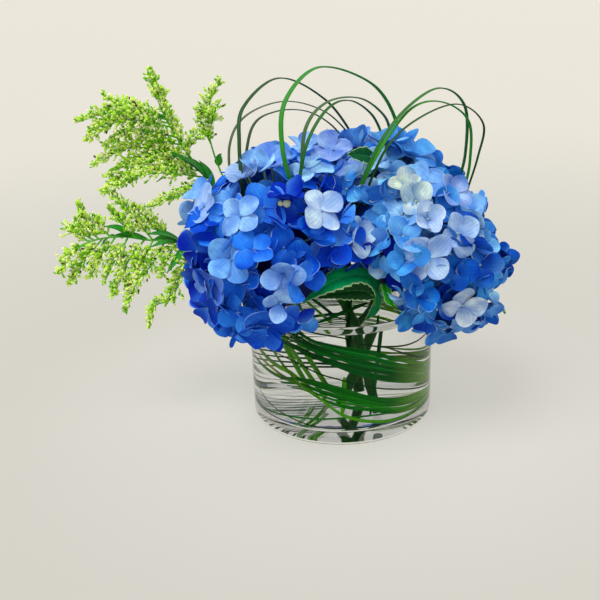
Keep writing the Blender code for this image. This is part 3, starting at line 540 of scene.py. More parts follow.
def outOf(head, place):   # the way out of the dome at a place near its surface
    turn = headTurn(head)
    local = turn.transposed() @ (place - Vector(head["centre"]))
    wide, tall = head["wide"] ** 2, (head["up"] if local.z > 0 else head["down"]) ** 2
    return (turn @ Vector((local.x / wide, local.y / wide, local.z / tall))).normalized()


def headPoint(head, slope, turn):   # a point of the dome, pressed in where the head is flatter
    tall = head["up"] if math.cos(slope) > 0 else head["down"]
    local = Vector((math.sin(slope) * math.cos(turn), math.sin(slope) * math.sin(turn), 0)) * head["wide"]
    local.z = tall * math.cos(slope)
    local = headTurn(head) @ local
    for way, limit in head["pressed"]:
        local -= Vector(way) * max(0.0, local.dot(Vector(way)) - limit)
    return Vector(head["centre"]) + local


def pastSeam(which, place):   # how far a place lies past the planes where the heads press on each other
    head = headSettings[which]
    furthest = -1.0
    for other, neighbour in headSettings.items():
        if other != which:
            a, b = Vector(head["centre"]), Vector(neighbour["centre"])
            seam = a.lerp(b, head["wide"] / (head["wide"] + neighbour["wide"]))
            furthest = max(furthest, (place - seam).dot((b - a).normalized()))
    return furthest


def offTheVase(place, gap):   # moves a point that would lie in the vase's wall or mouth out of it
    flat = math.hypot(place.x, place.y)
    outside = vaseSettings["radius"] + gap
    above = vaseSettings["height"] + gap
    if flat > outside or place.z > above:
        return place
    if outside - flat < above - place.z:
        return Vector((place.x * outside / flat, place.y * outside / flat, place.z))
    return Vector((place.x, place.y, above))


def clearings():   # room over the vase's mouth and in front of the front leaf and its curled neighbour
    rooms = [(*mm(room[:2]), room[2] * 0.001) for room in keptOpen]
    outward = Vector((0, -0.94, 0.33))
    for leaf in leafSettings:
        for near, far in zip(mm(leaf.get("near", [])), mm(leaf.get("far", []))):
            middle = near.lerp(far, 0.45) + outward * 0.004
            rooms.append((middle, middle + outward * 0.030, max(0.0065, (far - near).length * 0.35)))
    return rooms


def inRoom(rooms, place, gap):
    for a, b, radius in rooms:
        share = clamped((place - a).dot(b - a) / (b - a).length_squared)
        if (place - a.lerp(b, share)).length < radius + gap:
            return True
    return False


def pickColour(petals, share):   # a share from 0, deep, to 1, pale; between two colours they blend
    for (colour, weight), paler in zip(petals, petals[1:]):
        if share < weight:
            return mixOf(colour, paler[0], max(0.0, share / weight) ** 2)
        share -= weight
    return petals[-1][0]


def towardPale(colour, pale, share):   # blue comes first and red last, so the colours between stay strong
    return tuple(between(a, b, share ** power) for a, b, power in zip(colour, pale, (1.7, 1.15, 0.75)))


def toward(point, way):   # how far a point of the template lies to one side, from -1 to 1
    return point.x * math.cos(way) + (2 * point.y - 1) * math.sin(way)


def sepalShape(f, draw, length, rise):   # a sepal's own bend; gives the place of a template point
    bend = draw.uniform(*f["bends"])
    bend = bend if abs(bend) > f["leastBend"] else f["leastBend"]
    cup = draw.uniform(*f["cups"])
    wave, phase = draw.uniform(*f["waves"]), draw.uniform(0, fullTurn)
    twist = draw.uniform(*f["twists"])
    half = f["halfWidth"] * draw.uniform(*f["broad"])

    def shape(point):
        x, reach = point.x * half, point.y
        turned = rise + bend * reach
        y = (math.sin(turned) - math.sin(rise)) / bend
        z = (math.cos(rise) - math.cos(turned)) / bend
        lift = cup * x * x * (0.4 + reach) * 1.6 + twist * reach * x
        lift += wave * reach * abs(point.x) * math.sin(7 * reach + phase + 2 * point.x)
        return Vector((x, y - lift * math.sin(turned), z + lift * math.cos(turned))) * length
    return shape


def addFloret(piece, template, frameOf, size, opening, spin, draw, base, pale, rooms):
    f = floretSettings
    layer = piece["shape"].verts.layers.float_vector["spot"]
    for k in range(4):
        length = size * draw.uniform(*f["lengths"])
        shape = sepalShape(f, draw, length, opening + draw.uniform(*f["rises"]))
        shade = towardPale(base, pale, max(0.0, draw.gauss(*f["paling"])))
        paintedShadeTone = tuple(value * share for value, share in zip(shade, f["paintedShadeFactors"]))
        shadeSideWay, depth = draw.uniform(0, fullTurn), draw.uniform(*f["depths"])   # painted shade makes one side darker
        litWay = draw.uniform(0, fullTurn)
        claw, paintedLightShare = draw.uniform(*f["claws"]), draw.uniform(*f["paintedLightShares"])
        around = frameOf @ Matrix.Rotation(spin + k * math.pi / 2 + draw.uniform(*f["turns"]), 4, "Z")
        paintedRimHighlight = max(0.0, draw.uniform(*f["paintedRimHighlights"]))
        lift = Vector((0, f["overlap"][0], f["overlap"][1] * (k % 2)))   # every other one lies higher
        if any(inRoom(rooms, around @ (shape(Vector((0, reach, 0))) + lift), 0.001) for reach in (0.55, 1.0)):
            continue
        first = len(piece["tints"])
        for number, vert in enumerate(addPart(piece, template, shade)):
            thick = Vector((0, 0, f["thickness"] * vert.co.z / templateThickness))
            # painted shade darkens one side of the sepal and painted light makes the other side paler
            side = 0.5 + 0.5 * toward(vert.co, shadeSideWay)
            tint = towardPale(mixOf(shade, paintedShadeTone, depth * side * side), pale, paintedLightShare * (1 - side) ** 2)
            # the foot of a sepal: where claw is below 0 it gets painted shade, darker; above 0 it gets a
            # paler tone of its own
            inner = max(0.0, 1 - vert.co.y / 0.45)
            piece["tints"][first + number] = (mixOf(tint, paintedShadeTone, -claw * inner) if claw < 0 else
                                              towardPale(tint, pale, claw * inner))
            # a pale rim on the lit side: a painted highlight
            vert[layer].z = paintedRimHighlight * clamped(toward(vert.co, litWay) * 1.3)
            vert.co = offTheVase(around @ (shape(vert.co) + lift + thick), f["vaseGap"])


def floretPlaces(which, draw):   # the standing-out florets, then those that fill the dome by the golden angle
    head, f = headSettings[which], floretSettings
    chosen = []
    for place, *rest in showFlorets[which]:
        place = Vector(place) * 0.001
        chosen.append((place, (outOf(head, place) + Vector((0, -0.4, 0))).normalized(), *rest))
    shown = [spec[0] for spec in chosen]
    lowest = math.cos(math.radians(head["spread"]))
    centre = Vector(head["centre"])
    for i in range(head["florets"]):
        slope = math.acos(1 - (i + 0.5) / head["florets"] * (1 - lowest))
        place = headPoint(head, slope, i * goldenAngle)
        out = outOf(head, place)
        place = centre + (place - centre) * f["surfaceShare"] - out * f["layer"] * (i % 3)
        tilt = Vector([draw.uniform(-1, 1) for axis in range(3)]) * f["tilt"]
        size = draw.uniform(*f["sizes"]) * head["scale"]
        opening = draw.choice(f["openings"])
        # random colour patches, plus painted light from above: florets facing upward pick a paler colour
        patchAndPaintedLight = 0.42 + 0.85 * noise.noise(place * f["surfacePatch"]) + f["upward"] * out.z
        patchAndPaintedLight += draw.uniform(*f["patches"])
        spin = draw.uniform(0, math.pi / 2)
        crowded = any((place - other).length < f["roomAround"] for other in shown)
        inVase = (math.hypot(place.x, place.y) < vaseSettings["radius"] - 0.002
                  and place.z < vaseSettings["height"] + 0.004)
        if not (crowded or inVase or pastSeam(which, place) > 0.003):
            colour = pickColour(head["petals"], patchAndPaintedLight)
            chosen.append((place, (out + tilt).normalized(), size, colour, opening, spin))
    return chosen


def makeCore(head, name, stalks, node):   # the middle the florets stand out of, with their stalks; its near-black colour is painted shade in the gaps
    f = floretSettings
    core = startPiece()
    ball = bmesh.new()
    bmesh.ops.create_icosphere(ball, subdivisions=4, radius=1.0)
    for vert in ball.verts:
        tall = head["up"] if vert.co.z > 0 else head["down"]
        local = Vector((vert.co.x * head["wide"], vert.co.y * head["wide"], vert.co.z * tall))
        local *= f["coreShare"] * (1 + 0.08 * noise.noise(local * 90))
        vert.co = offTheVase(Vector(head["centre"]) + headTurn(head) @ local, 0.002)
    addPart(core, asMesh(ball), f["paintedShadeCoreColour"])
    addPart(core, tubesMesh(stalks, 1), f["stalkColour"])
    finishPiece(core, f"hydrangeaStalks_{name}", node, head["slot"],
                greenSurface(f"stalkSkin_{name}", 0.6, 300.0))


def makeHead(which):
    head, f = headSettings[which], floretSettings
    draw = random.Random(head["seed"])
    template = sepalTemplate()
    bead = bmesh.new()
    bead.verts.layers.float_vector.new("spot")
    bmesh.ops.create_icosphere(bead, subdivisions=1, radius=1.0)
    bead = asMesh(bead)
    piece = startPiece()
    piece["shape"].verts.layers.float_vector.new("spot")
    stalks = []
    rooms = clearings()
    for place, facing, size, colour, opening, spin in floretPlaces(which, draw):
        frameOf = Matrix.Translation(place) @ facing.to_track_quat("Z", "Y").to_matrix().to_4x4()
        addFloret(piece, template, frameOf, size * f["sepal"], opening, spin, draw,
                  colour, head["pale"], rooms)
        if inRoom(rooms, place, 0.002):
            continue
        for vert in addPart(piece, bead, mixOf(colour, head["bead"], 0.7)):
            vert.co = frameOf @ (Vector((vert.co.x, vert.co.y, vert.co.z * 0.8 + 0.6)) * f["beadRadius"])
        stalks.append(([Vector(head["centre"]).lerp(place, f["coreShare"] * 0.85), place - facing * 0.0006],
                       (f["stalkRadius"] * 1.5, f["stalkRadius"])))
    for spot, radius in head["buds"]:   # unopened flowers among the open ones
        for vert in addPart(piece, bead, f["budColour"]):
            vert.co = Vector(spot) * 0.001 + vert.co * radius * 0.001
    node = f"hydrangea_head_{which}"
    skin = petalSurface(f"petalSkin_{which}", head["pale"])
    finishPiece(piece, f"hydrangeaFlorets_{which}", node, head["slot"], skin, 70)
    makeCore(head, which, stalks, node)


def greenSurface(name, roughness, grain):   # green growth coloured by the tint attribute
    surface, tree, shader = newSurface(name)
    mottle = noiseOf(tree, grain, detail=3.0)
    colour = timesColour(tree, rangeOf(tree, mottle, 0.3, 0.7, 0.0, 0.6), tintOf(tree), (1.5, 1.4, 1.1))
    coatOf(tree, shader, colour, roughness, shine=0.12, relief=(mottle, 0.3, 0.0003))
    return surface


# Stems and leaves

stemRadius = 0.0045
stemTaper = 0.30   # how much thinner the cut end is
stemClear = 0.0006   # the room under the cut end
stemSteps = 60
petioleSteps, petioleRadii = 24, (0.0018, 0.0010)
stemColour, petioleColour = (0.012, 0.10, 0.012), (0.05, 0.26, 0.02)
stemSettings = {
    "left": [(24, -30, 0), (15, -26, 55), (4, -22, 100), (-22, -26, 126), (-40, -31, 143)],
    "right": [(-1, -8, 0), (14, -11, 55), (29, -14, 100), (40, -11, 128), (52, -7, 146)],
    "back": [(10, 22, 0), (6, 28, 55), (3, 36, 100), (-2, 46, 130), (-2, 53, 150)],
}
leafThickness, ribCount, ribSlant = 0.00045, 9.0, 0.22
# leaves with edges are laid between the two, the others along their midribs to a tip; all in mm
leafSettings = [
    {"name": "front", "stem": "right", "petiole": [(27, -13, 92), (25, -26, 91), (20, -38, 92)],
     "near": [(20, -38, 92), (23, -48, 104), (27, -60, 119), (23, -71, 132), (14, -79, 138), (3, -84, 136),
              (-9, -86, 133), (-19, -85, 129), (-28, -82, 124)],
     "far": [(20, -37, 91), (30, -42, 100), (33, -46, 114), (31, -49, 128), (23, -53, 141), (11, -58, 145),
             (-3, -66, 146), (-17, -76, 135), (-28, -82, 124)],
     "teeth": 17, "fold": 0.05, "upper": (0.001, 0.42, 0.13)},
    # a leaf under the front leaf's near edge, coloured near-black green: painted shade
    {"name": "folded", "stem": "right",
     "petiole": [(27, -14, 94), (28, -34, 100), (27, -50, 110), (26, -61, 119)],
     "near": [(26, -62, 119), (22, -63, 118), (15, -64, 118), (4, -64, 119), (-7, -64, 120),
              (-18, -65, 121)],
     "far": [(27, -61, 122), (23, -60, 131), (15, -59, 133), (4, -60, 131), (-7, -62, 127), (-18, -65, 121)],
     "teeth": 10, "fold": 0.1, "upper": (0.004, 0.06, 0.012)},
    {"name": "curled", "stem": "right",
     "petiole": [(30, -16, 104), (34, -36, 110), (34, -54, 118), (31, -60, 125)],
     "near": [(30, -60, 125), (31, -65, 132), (32, -70, 127), (34, -73, 120), (38, -76, 118),
              (42, -78, 116)],
     "far": [(32, -58, 124), (35, -62, 131), (38, -68, 129), (39, -72, 125), (40, -76, 119), (42, -78, 116)],
     "teeth": 8, "fold": 0.1, "upper": (0.01, 0.3, 0.006)},
    {"name": "right", "stem": "right", "petiole": [(31, -12, 103), (58, 0, 106.5), (88, 2, 104.5)],
     "tip": (136, -8, 84), "half": 0.0125, "teeth": 12, "facing": (0.35, -0.1, 0.93), "arch": 0.006,
     "fold": 0.25, "upper": (0.012, 0.32, 0.03)},
    {"name": "top", "stem": "back", "petiole": [(3, 34, 100), (10, 16, 150), (24, -4, 200), (28, -18, 218)],
     "tip": (8, -28, 223), "half": 0.0075, "teeth": 10, "facing": (-0.1, -0.9, 0.4), "arch": 0.003,
     "fold": 0.25, "upper": (0.002, 0.11, 0.035)},
]


def leafSurface(name):
    surface, tree, shader = newSurface(name)
    across, along = spotOf(tree)[:2]
    side = calculate(tree, "ABSOLUTE", across)
    slant = calculate(tree, "SUBTRACT", along, calculate(tree, "MULTIPLY", side, ribSlant))
    ribs = calculate(tree, "PINGPONG", calculate(tree, "MULTIPLY", slant, ribCount), 0.5)
    rib = calculate(tree, "MULTIPLY", rangeOf(tree, ribs, 0.0, 0.06, 1.0, 0.0), 0.6)
    vein = calculate(tree, "MAXIMUM", rib, rangeOf(tree, side, 0.0, 0.07, 1.0, 0.0))
    colour = mixColour(tree, calculate(tree, "MULTIPLY", vein, 0.45), tintOf(tree), (0.10, 0.45, 0.14))
    net = addNode(tree, "ShaderNodeTexVoronoi", {"Vector": objectPlace(tree), "Scale": 520.0},
                  feature="DISTANCE_TO_EDGE").outputs["Distance"]
    colour = timesColour(tree, rangeOf(tree, net, 0.0, 0.12, 0.30, 0.0), colour, (0.4, 0.6, 0.5))
    colour = mixColour(tree, rangeOf(tree, side, 0.86, 0.94, 0.0, 0.9), colour, (0.48, 0.72, 0.36))
    height = calculate(tree, "SUBTRACT", rangeOf(tree, net, 0.0, 0.2, 0.0, 0.3), vein)
    coatOf(tree, shader, colour, roughness=0.42, shine=0.12, relief=(height, 0.5, 0.0005), through=0.18)
    return surface


def leafAlongMidrib(leaf):
    base, tip = mm([leaf["petiole"][-1], leaf["tip"]])
    along = tip - base
    side = along.cross(Vector(leaf["facing"])).normalized()
    up = side.cross(along).normalized()

    def place(s, t):
        tooth = (t * leaf["teeth"]) % 1.0
        body = max(0.0, math.sin(math.pi * t ** 0.80)) ** 0.75 * (1 - 0.20 * t)
        half = leaf["half"] * max(body, 0.06 * (1 - t)) * (1 - 0.10 * (1 - tooth) * (0 < t < 1))
        reach = s * half
        rise = (leaf["arch"] * math.sin(math.pi * t) + abs(reach) * leaf["fold"] + puffBetweenVeins(s, t)
                + 0.0008 * abs(s) ** 3 * math.sin(t * 21))
        return base + along * t + along.normalized() * s * s * half * 0.10 + side * reach + up * rise
    return place


def leafBetweenEdges(leaf):
    steps = leaf["teeth"] * 5
    near, far = [throughPoints(mm(leaf[edge]), steps + 1) for edge in ("near", "far")]

    def place(s, t):
        i = round(t * steps)
        width = far[i] - near[i]
        up = width.cross(directionAt(near, i) + directionAt(far, i)).normalized()
        up = up if up.z > 0 else -up
        tooth = 1 + 0.22 * abs(s) ** 3 * (0.5 - (t * leaf["teeth"]) % 1.0) * min(1.0, 8 * (1 - t))
        rise = puffBetweenVeins(s, t) - leaf["fold"] * width.length * (1 - abs(s)) ** 2
        return near[i] + width * (0.5 + 0.5 * s * tooth) + up * rise
    return place


def puffBetweenVeins(s, t):
    return 0.0010 * abs(math.sin(math.pi * (t - abs(s) * ribSlant) * ribCount)) * abs(s) * (1 - abs(s)) * 2


def makeLeaf(leaf):
    name = leaf["name"]
    place = leafBetweenEdges(leaf) if "near" in leaf else leafAlongMidrib(leaf)
    piece = startPiece()
    addPart(piece, shapedSheet(14, leaf["teeth"] * 5, place, leafThickness), leaf["upper"])
    finishPiece(piece, f"hydrangeaLeaf_{name}", f"hydrangea_stem_{leaf['stem']}", "stem_green",
                leafSurface(f"leafSkin_{name}"))


def stemFoot(points, radius):   # the slanting cut end stands just clear of the vase's floor
    foot, above = points[0], points[1]
    floor = vaseSettings["floor"]
    lean = math.hypot(above.x - foot.x, above.y - foot.y) / (above.z - floor)
    return Vector((foot.x, foot.y, floor + stemClear + 1.4 * radius * lean))


def stemWidth(i):   # thinner at the cut end, with a swollen joint every 24 steps
    risen = 1 - stemTaper * (1 - i / (stemSteps - 1)) ** 0.7
    return stemRadius * (risen + 0.10 * math.exp(-((i % 24) - 9) ** 2 / 3.0))


def makeStem(which):
    points = mm(stemSettings[which])
    points[0] = stemFoot(points, stemRadius)
    route = throughPoints(points, stemSteps)
    piece = startPiece()
    addPart(piece, tubesMesh([(route, [stemWidth(i) for i in range(stemSteps)])], 4), stemColour)
    petioles = []
    for leaf in leafSettings:
        if leaf["stem"] == which:
            path = throughPoints(mm(leaf["petiole"]), petioleSteps)
            onward = mm([leaf["tip"] if "tip" in leaf else leaf["far"][2]])[0] - path[-1]
            path.append(path[-1] + onward.normalized() * 0.004)   # on into the foot of its leaf
            petioles.append((path, tapered(*petioleRadii, petioleSteps + 1)))
    if petioles:
        addPart(piece, tubesMesh(petioles, 3), petioleColour)
    finishPiece(piece, f"hydrangeaStem_{which}", f"hydrangea_stem_{which}", "stem_green",
                greenSurface(f"stemSkin_{which}", 0.5, 220.0))


# Looped and coiled grass

loopSteps, loopThickness = 90, 0.00045
hiddenEnds = (0.026, 0.022)   # how far a loop's first and last end run on among the florets
loopSettings = {
    "left_1": {"route": [(-70, -56, 196), (-71, -53, 237), (-68, -36, 262), (-42, -8, 279), (-9, 23, 258),
                         (12, 45, 227), (17, 52, 210)],
               "width": 0.0034, "tint": (0.01, 0.075, 0.012)},
    "left_2": {"route": [(-80, -42, 196), (-80, -37, 234), (-68, -17, 253), (-39, 10, 259), (-9, 36, 246),
                         (11, 54, 223), (16, 62, 206)],
               "width": 0.0024, "tint": (0.07, 0.12, 0.05)},
    "left_3": {"route": [(-72, -34, 206), (-64, -22, 244), (-47, -3, 253), (-24, 23, 249), (-4, 48, 233),
                         (10, 63, 212), (13, 69, 200)],
               "width": 0.0026, "tint": (0.03, 0.08, 0.03)},
    "middle_1": {"route": [(-30, -66, 196), (-39, -64, 236), (-36, -50, 268), (-11, -26, 288), (27, 1, 272),
                           (46, 16, 244), (50, 22, 214)],
                 "width": 0.0044, "tint": (0.018, 0.24, 0.012)},
    "middle_2": {"route": [(-27, -46, 206), (-23, -42, 245), (-7, -26, 262), (18, -6, 262), (38, 11, 245),
                           (44, 20, 226), (45, 24, 214)],
                 "width": 0.0036, "tint": (0.07, 0.17, 0.06)},
    "middle_3": {"route": [(-30, -58, 200), (-22, -53, 236), (-7, -35, 258), (10, -10, 261), (27, 8, 248),
                           (36, 22, 230), (39, 28, 214)],
                 "width": 0.003, "tint": (0.012, 0.13, 0.015)},
    "right_1": {"route": [(13, -44, 194), (32, -45, 235), (54, -33, 259), (79, -17, 269), (99, -3, 252),
                          (102, 9, 214), (97, 15, 186)],
                "width": 0.0036, "tint": (0.015, 0.15, 0.012)},
    "right_2": {"route": [(15, -40, 196), (34, -40, 232), (56, -32, 257), (80, -20, 259), (102, -4, 241),
                          (105, 4, 208), (102, 10, 184)],
                "width": 0.0036, "tint": (0.03, 0.32, 0.012)},
    "right_3": {"route": [(19, -41, 192), (37, -47, 232), (62, -37, 251), (92, -20, 257), (113, -5, 239),
                          (111, 3, 212), (104, 7, 184)],
                "width": 0.0026, "tint": (0.008, 0.08, 0.008)},
}


def bladeSurface(name, roughness, through, shine=0.4):
    surface, tree, shader = newSurface(name)
    across, mark = spotOf(tree)[::2]
    lines = addNode(tree, "ShaderNodeCombineXYZ", {0: across, 1: mark})
    ribs = addNode(tree, "ShaderNodeTexWave", {"Vector": lines.outputs[0], "Scale": 1.3,
                                               "Distortion": 0.4}).outputs["Fac"]
    colour = timesColour(tree, rangeOf(tree, ribs, 0.2, 0.9, 0.0, 0.4), tintOf(tree), (1.6, 1.45, 1.3))
    keel = rangeOf(tree, calculate(tree, "ABSOLUTE", across), 0.0, 0.22, 0.45, 0.0)
    colour = timesColour(tree, keel, colour, (3.0, 2.0, 1.8))
    mottle = noiseOf(tree, scale=70.0, detail=3.0)
    colour = timesColour(tree, rangeOf(tree, mottle, 0.45, 0.8, 0.0, 0.4), colour, (1.5, 1.3, 0.8))
    coatOf(tree, shader, colour, roughness, shine, relief=(ribs, 0.4, 0.0003), through=through)
    return surface


def makeLoop(which):
    loop = loopSettings[which]
    points = mm(loop["route"])
    start = points[0] + (points[0] - points[1]).normalized() * hiddenEnds[0]
    end = points[-1] + (points[-1] - points[-2]).normalized() * hiddenEnds[1]
    route = throughPoints([start] + points + [end], loopSteps)
    flat = (points[-1] - points[0]).cross(Vector((0, 0, 1))).normalized()

    def halfAt(t):
        return loop["width"] / 2 * (1 - 0.35 * t ** 2)

    piece = startPiece()
    addPart(piece, foldedBlade(route, flat, halfAt, 1, loopThickness, loop["width"] * 1000), loop["tint"])
    finishPiece(piece, f"lilyGrass_{which}", f"grass_{which}", "grass",
                bladeSurface(f"grassBlade_{which}", 0.42, 0.2))


# Knots give the angle in degrees and the height in mm along a blade. A bundle fills the room between two
# lines with blades; where "short" is given only every third is whole; "end" is its tint on the right.
# A single blade has knots, a width in mm and a tint. A straight one, which crosses in the mouth or stands
# in the water, has two ends, a width and a tint.
coilSettings = {
    "radius": 0.0703, "step": 0.0001, "thickness": 0.00035, "mark": 0.37, "lowest": 12.5, "highest": 99.0,
    "seed": 12, "starts": (0.0, 0.06), "sways": (0.3, 1.1), "lights": (0.1, 1.0), "widths": (0.6, 1.15),
    "endFrom": 33, "endOver": 34,
    "bundles": [
        {"high": [(-60, 97), (-30, 96), (-18, 89), (-4, 85), (18, 78), (31, 70), (46, 61), (64, 51),
                  (84, 43), (125, 30), (180, 28), (225, 40)],
         "low": [(-60, 80), (-42, 82), (-22, 76), (0, 66), (10, 60), (27, 52), (48, 43), (75, 32), (84, 28),
                 (125, 15), (180, 14), (225, 20)],
         "blades": 13, "short": (0.52, 0.6), "width": 2.8, "tint": (0.0004, 0.1, 0.008),
         "light": (0.003, 0.36, 0.028), "end": (0.17, 0.48, 0.002)},
        {"high": [(-46, 50), (-29, 55), (-14, 54), (2, 48), (18, 39), (36, 32), (60, 27), (84, 23),
                  (125, 24), (170, 32)],
         "low": [(-40, 44), (-24, 46), (-14, 40), (2, 33), (18, 28), (36, 20), (60, 16), (84, 15), (125, 16),
                 (170, 25)],
         "blades": 7, "short": (0.66, 0.76), "width": 2.8, "tint": (0.0015, 0.17, 0.006),
         "light": (0.014, 0.4, 0.006), "end": (0.22, 0.6, 0.002)},
        {"high": [(-84, 56), (-110, 54), (-140, 48), (-175, 44)],
         "low": [(-86, 46), (-110, 45), (-140, 38), (-172, 32)], "blades": 4, "width": 1.8,
         "tint": (0.006, 0.1, 0.01), "light": (0.03, 0.22, 0.02)},
        {"high": [(-106, 40), (-84, 34), (-66, 36), (-44, 44)],
         "low": [(-108, 36), (-84, 30), (-64, 32), (-44, 40)], "blades": 2, "width": 1.4,
         "tint": (0.006, 0.06, 0.008), "light": (0.03, 0.16, 0.01)},
    ],
    "single": [
        ([(-60, 98), (-32, 98), (-19, 95), (-1, 92), (12, 87)], 1.3, (0.001, 0.04, 0.006)),
        ([(-56, 70), (-42, 71), (-27, 67), (-14, 61), (0, 56), (18, 48), (36, 41), (75, 27), (110, 24)], 1.3,
         (0.001, 0.06, 0.008)),
        ([(-92, 58), (-73, 56), (-48, 52), (-32, 51), (-25, 48), (-13, 39), (0, 26), (18, 18), (36, 14.5),
          (66, 14.5), (90, 19)],
         3.0, (0.06, 0.3, 0.006)),
        ([(-60, 90), (-45, 70), (-36, 60), (-30, 53), (-22, 45)], 3.2, (0.1, 0.42, 0.008)),
        ([(-72, 70), (-60, 65), (-46, 60), (-33, 57), (-22, 49)], 3.8, (0.16, 0.46, 0.01)),
        ([(-66, 60), (-50, 56), (-38, 52), (-28, 50)], 2.4, (0.3, 0.4, 0.03)),
        ([(-104, 50), (-82, 38), (-58, 24), (-33, 17), (-15, 13.6), (3, 13.4), (22, 13.4), (50, 14.5)], 1.1,
         (0.002, 0.04, 0.006)),
        ([(-118, 20), (-84, 13.6), (-58, 15), (-33, 19), (-15, 21), (1, 23), (18, 23), (40, 21), (84, 19)],
         1.6, (0.003, 0.14, 0.006)),
        ([(6, 87), (15, 84), (27, 80), (48, 75), (70, 75), (96, 80)], 1.4, (0.001, 0.03, 0.004)),
        ([(24, 82), (36, 74), (52, 63), (64, 57), (84, 54), (110, 56)], 1.4, (0.001, 0.03, 0.004)),
    ],
    "straight": [
        ((-33, -50, 86), (22, -32, 104), 3.4, (0.002, 0.07, 0.008)),
        ((-24, -42, 114), (10, -29, 76), 2.8, (0.002, 0.07, 0.01)),
        ((30, -46, 99), (20, -45, 15), 3.0, (0.001, 0.1, 0.012)),
        ((9, -32, 114), (4, -33, 60), 2.6, (0.001, 0.04, 0.006)),
        ((2, -38, 46), (0, -40, 15), 3.4, (0.08, 0.44, 0.006)),
    ],
}


def addBlade(piece, sheet, n, tint, light, end=None):   # its colour changes between the tints along it
    spots = sheet.attributes["spot"].data

    def tone(i):
        place = sheet.vertices[i].co
        mixed = mixOf(tint, light, 0.5 + 0.5 * math.sin(spots[i].vector[1] * 7 + n * 2.4))
        angle = math.degrees(math.atan2(place.x, -place.y))
        share = clamped((angle - coilSettings["endFrom"]) / coilSettings["endOver"])
        return mixOf(mixed, end, share) if end else mixed
    addPart(piece, sheet, tone)


def coilBlade(piece, n, at, width, tint, light, end=None):
    c = coilSettings
    radius = c["radius"] + c["step"] * (n % 15)
    count = max(8, round(abs(at(1).x - at(0).x) / 4))

    def place(s, t):
        spot = at(t)
        angle = math.radians(spot.x)
        half = width / 2 * min(1.0, 0.35 + 3.5 * t, 0.25 + 6 * (1 - t))
        tall = min(max(spot.y, c["lowest"] + half), c["highest"] - half)
        out = Vector((math.sin(angle), -math.cos(angle), 0))
        return out * (radius - 0.0002 * s * s) + Vector((0, 0, (tall + s * half) * 0.001))
    addBlade(piece, shapedSheet(3, count, place, c["thickness"], n * c["mark"]), n, tint, light, end)


def straightBlade(piece, n, a, b, width, tint):
    c = coilSettings
    along = (b - a).normalized()
    side = along.cross(Vector((0.15, 1.0, 0.25))).normalized()

    def place(s, t):
        half = width * 0.0005 * min(1.0, 0.4 + 5 * t, 0.4 + 5 * (1 - t))
        bow = side.cross(along) * (0.002 * math.sin(math.pi * t) + half * 0.3 * abs(s))
        return a.lerp(b, t) + side * s * half + bow
    addBlade(piece, shapedSheet(3, 16, place, c["thickness"], n * c["mark"]), n, tint, lighter(tint, 1.6))


def alongKnots(knots):
    last = 59
    line = throughPoints([(angle, height, 0) for angle, height in knots], last + 1)

    def at(t):
        i = min(last - 1, int(t * last))
        return line[i].lerp(line[i + 1], t * last - i)
    return at


def makeCoil():
    c = coilSettings
    piece = startPiece()
    draw = random.Random(c["seed"])
    n = 0
    for bundle in c["bundles"]:
        high, low = alongKnots(bundle["high"]), alongKnots(bundle["low"])
        for b in range(bundle["blades"]):
            share = b / (bundle["blades"] - 1)
            end = draw.uniform(*bundle["short"]) if b % 3 and "short" in bundle else 1.0
            start, sway = draw.uniform(*c["starts"]), draw.uniform(*c["sways"])
            phase = draw.uniform(0, fullTurn)

            def at(t):
                t = between(start, end, t)
                spot = high(t).lerp(low(t), share)
                return Vector((spot.x, spot.y + sway * math.sin(9 * t + phase), 0))
            light = mixOf(bundle["tint"], bundle["light"], draw.uniform(*c["lights"]))
            width = bundle["width"] * draw.uniform(*c["widths"])
            coilBlade(piece, n, at, width, bundle["tint"], light, bundle.get("end"))
            n += 1
    for knots, width, tint in c["single"]:
        coilBlade(piece, n, alongKnots(knots), width, tint, lighter(tint, 1.5))
        n += 1
    for first, second, width, tint in c["straight"]:
        straightBlade(piece, n, *mm([first, second]), width, tint)
        n += 1
    finishPiece(piece, "coiledGrass", "grass_coil", "grass_coil", bladeSurface("coiledBlade", 0.5, 0.3, 0.06))


# Goldenrod

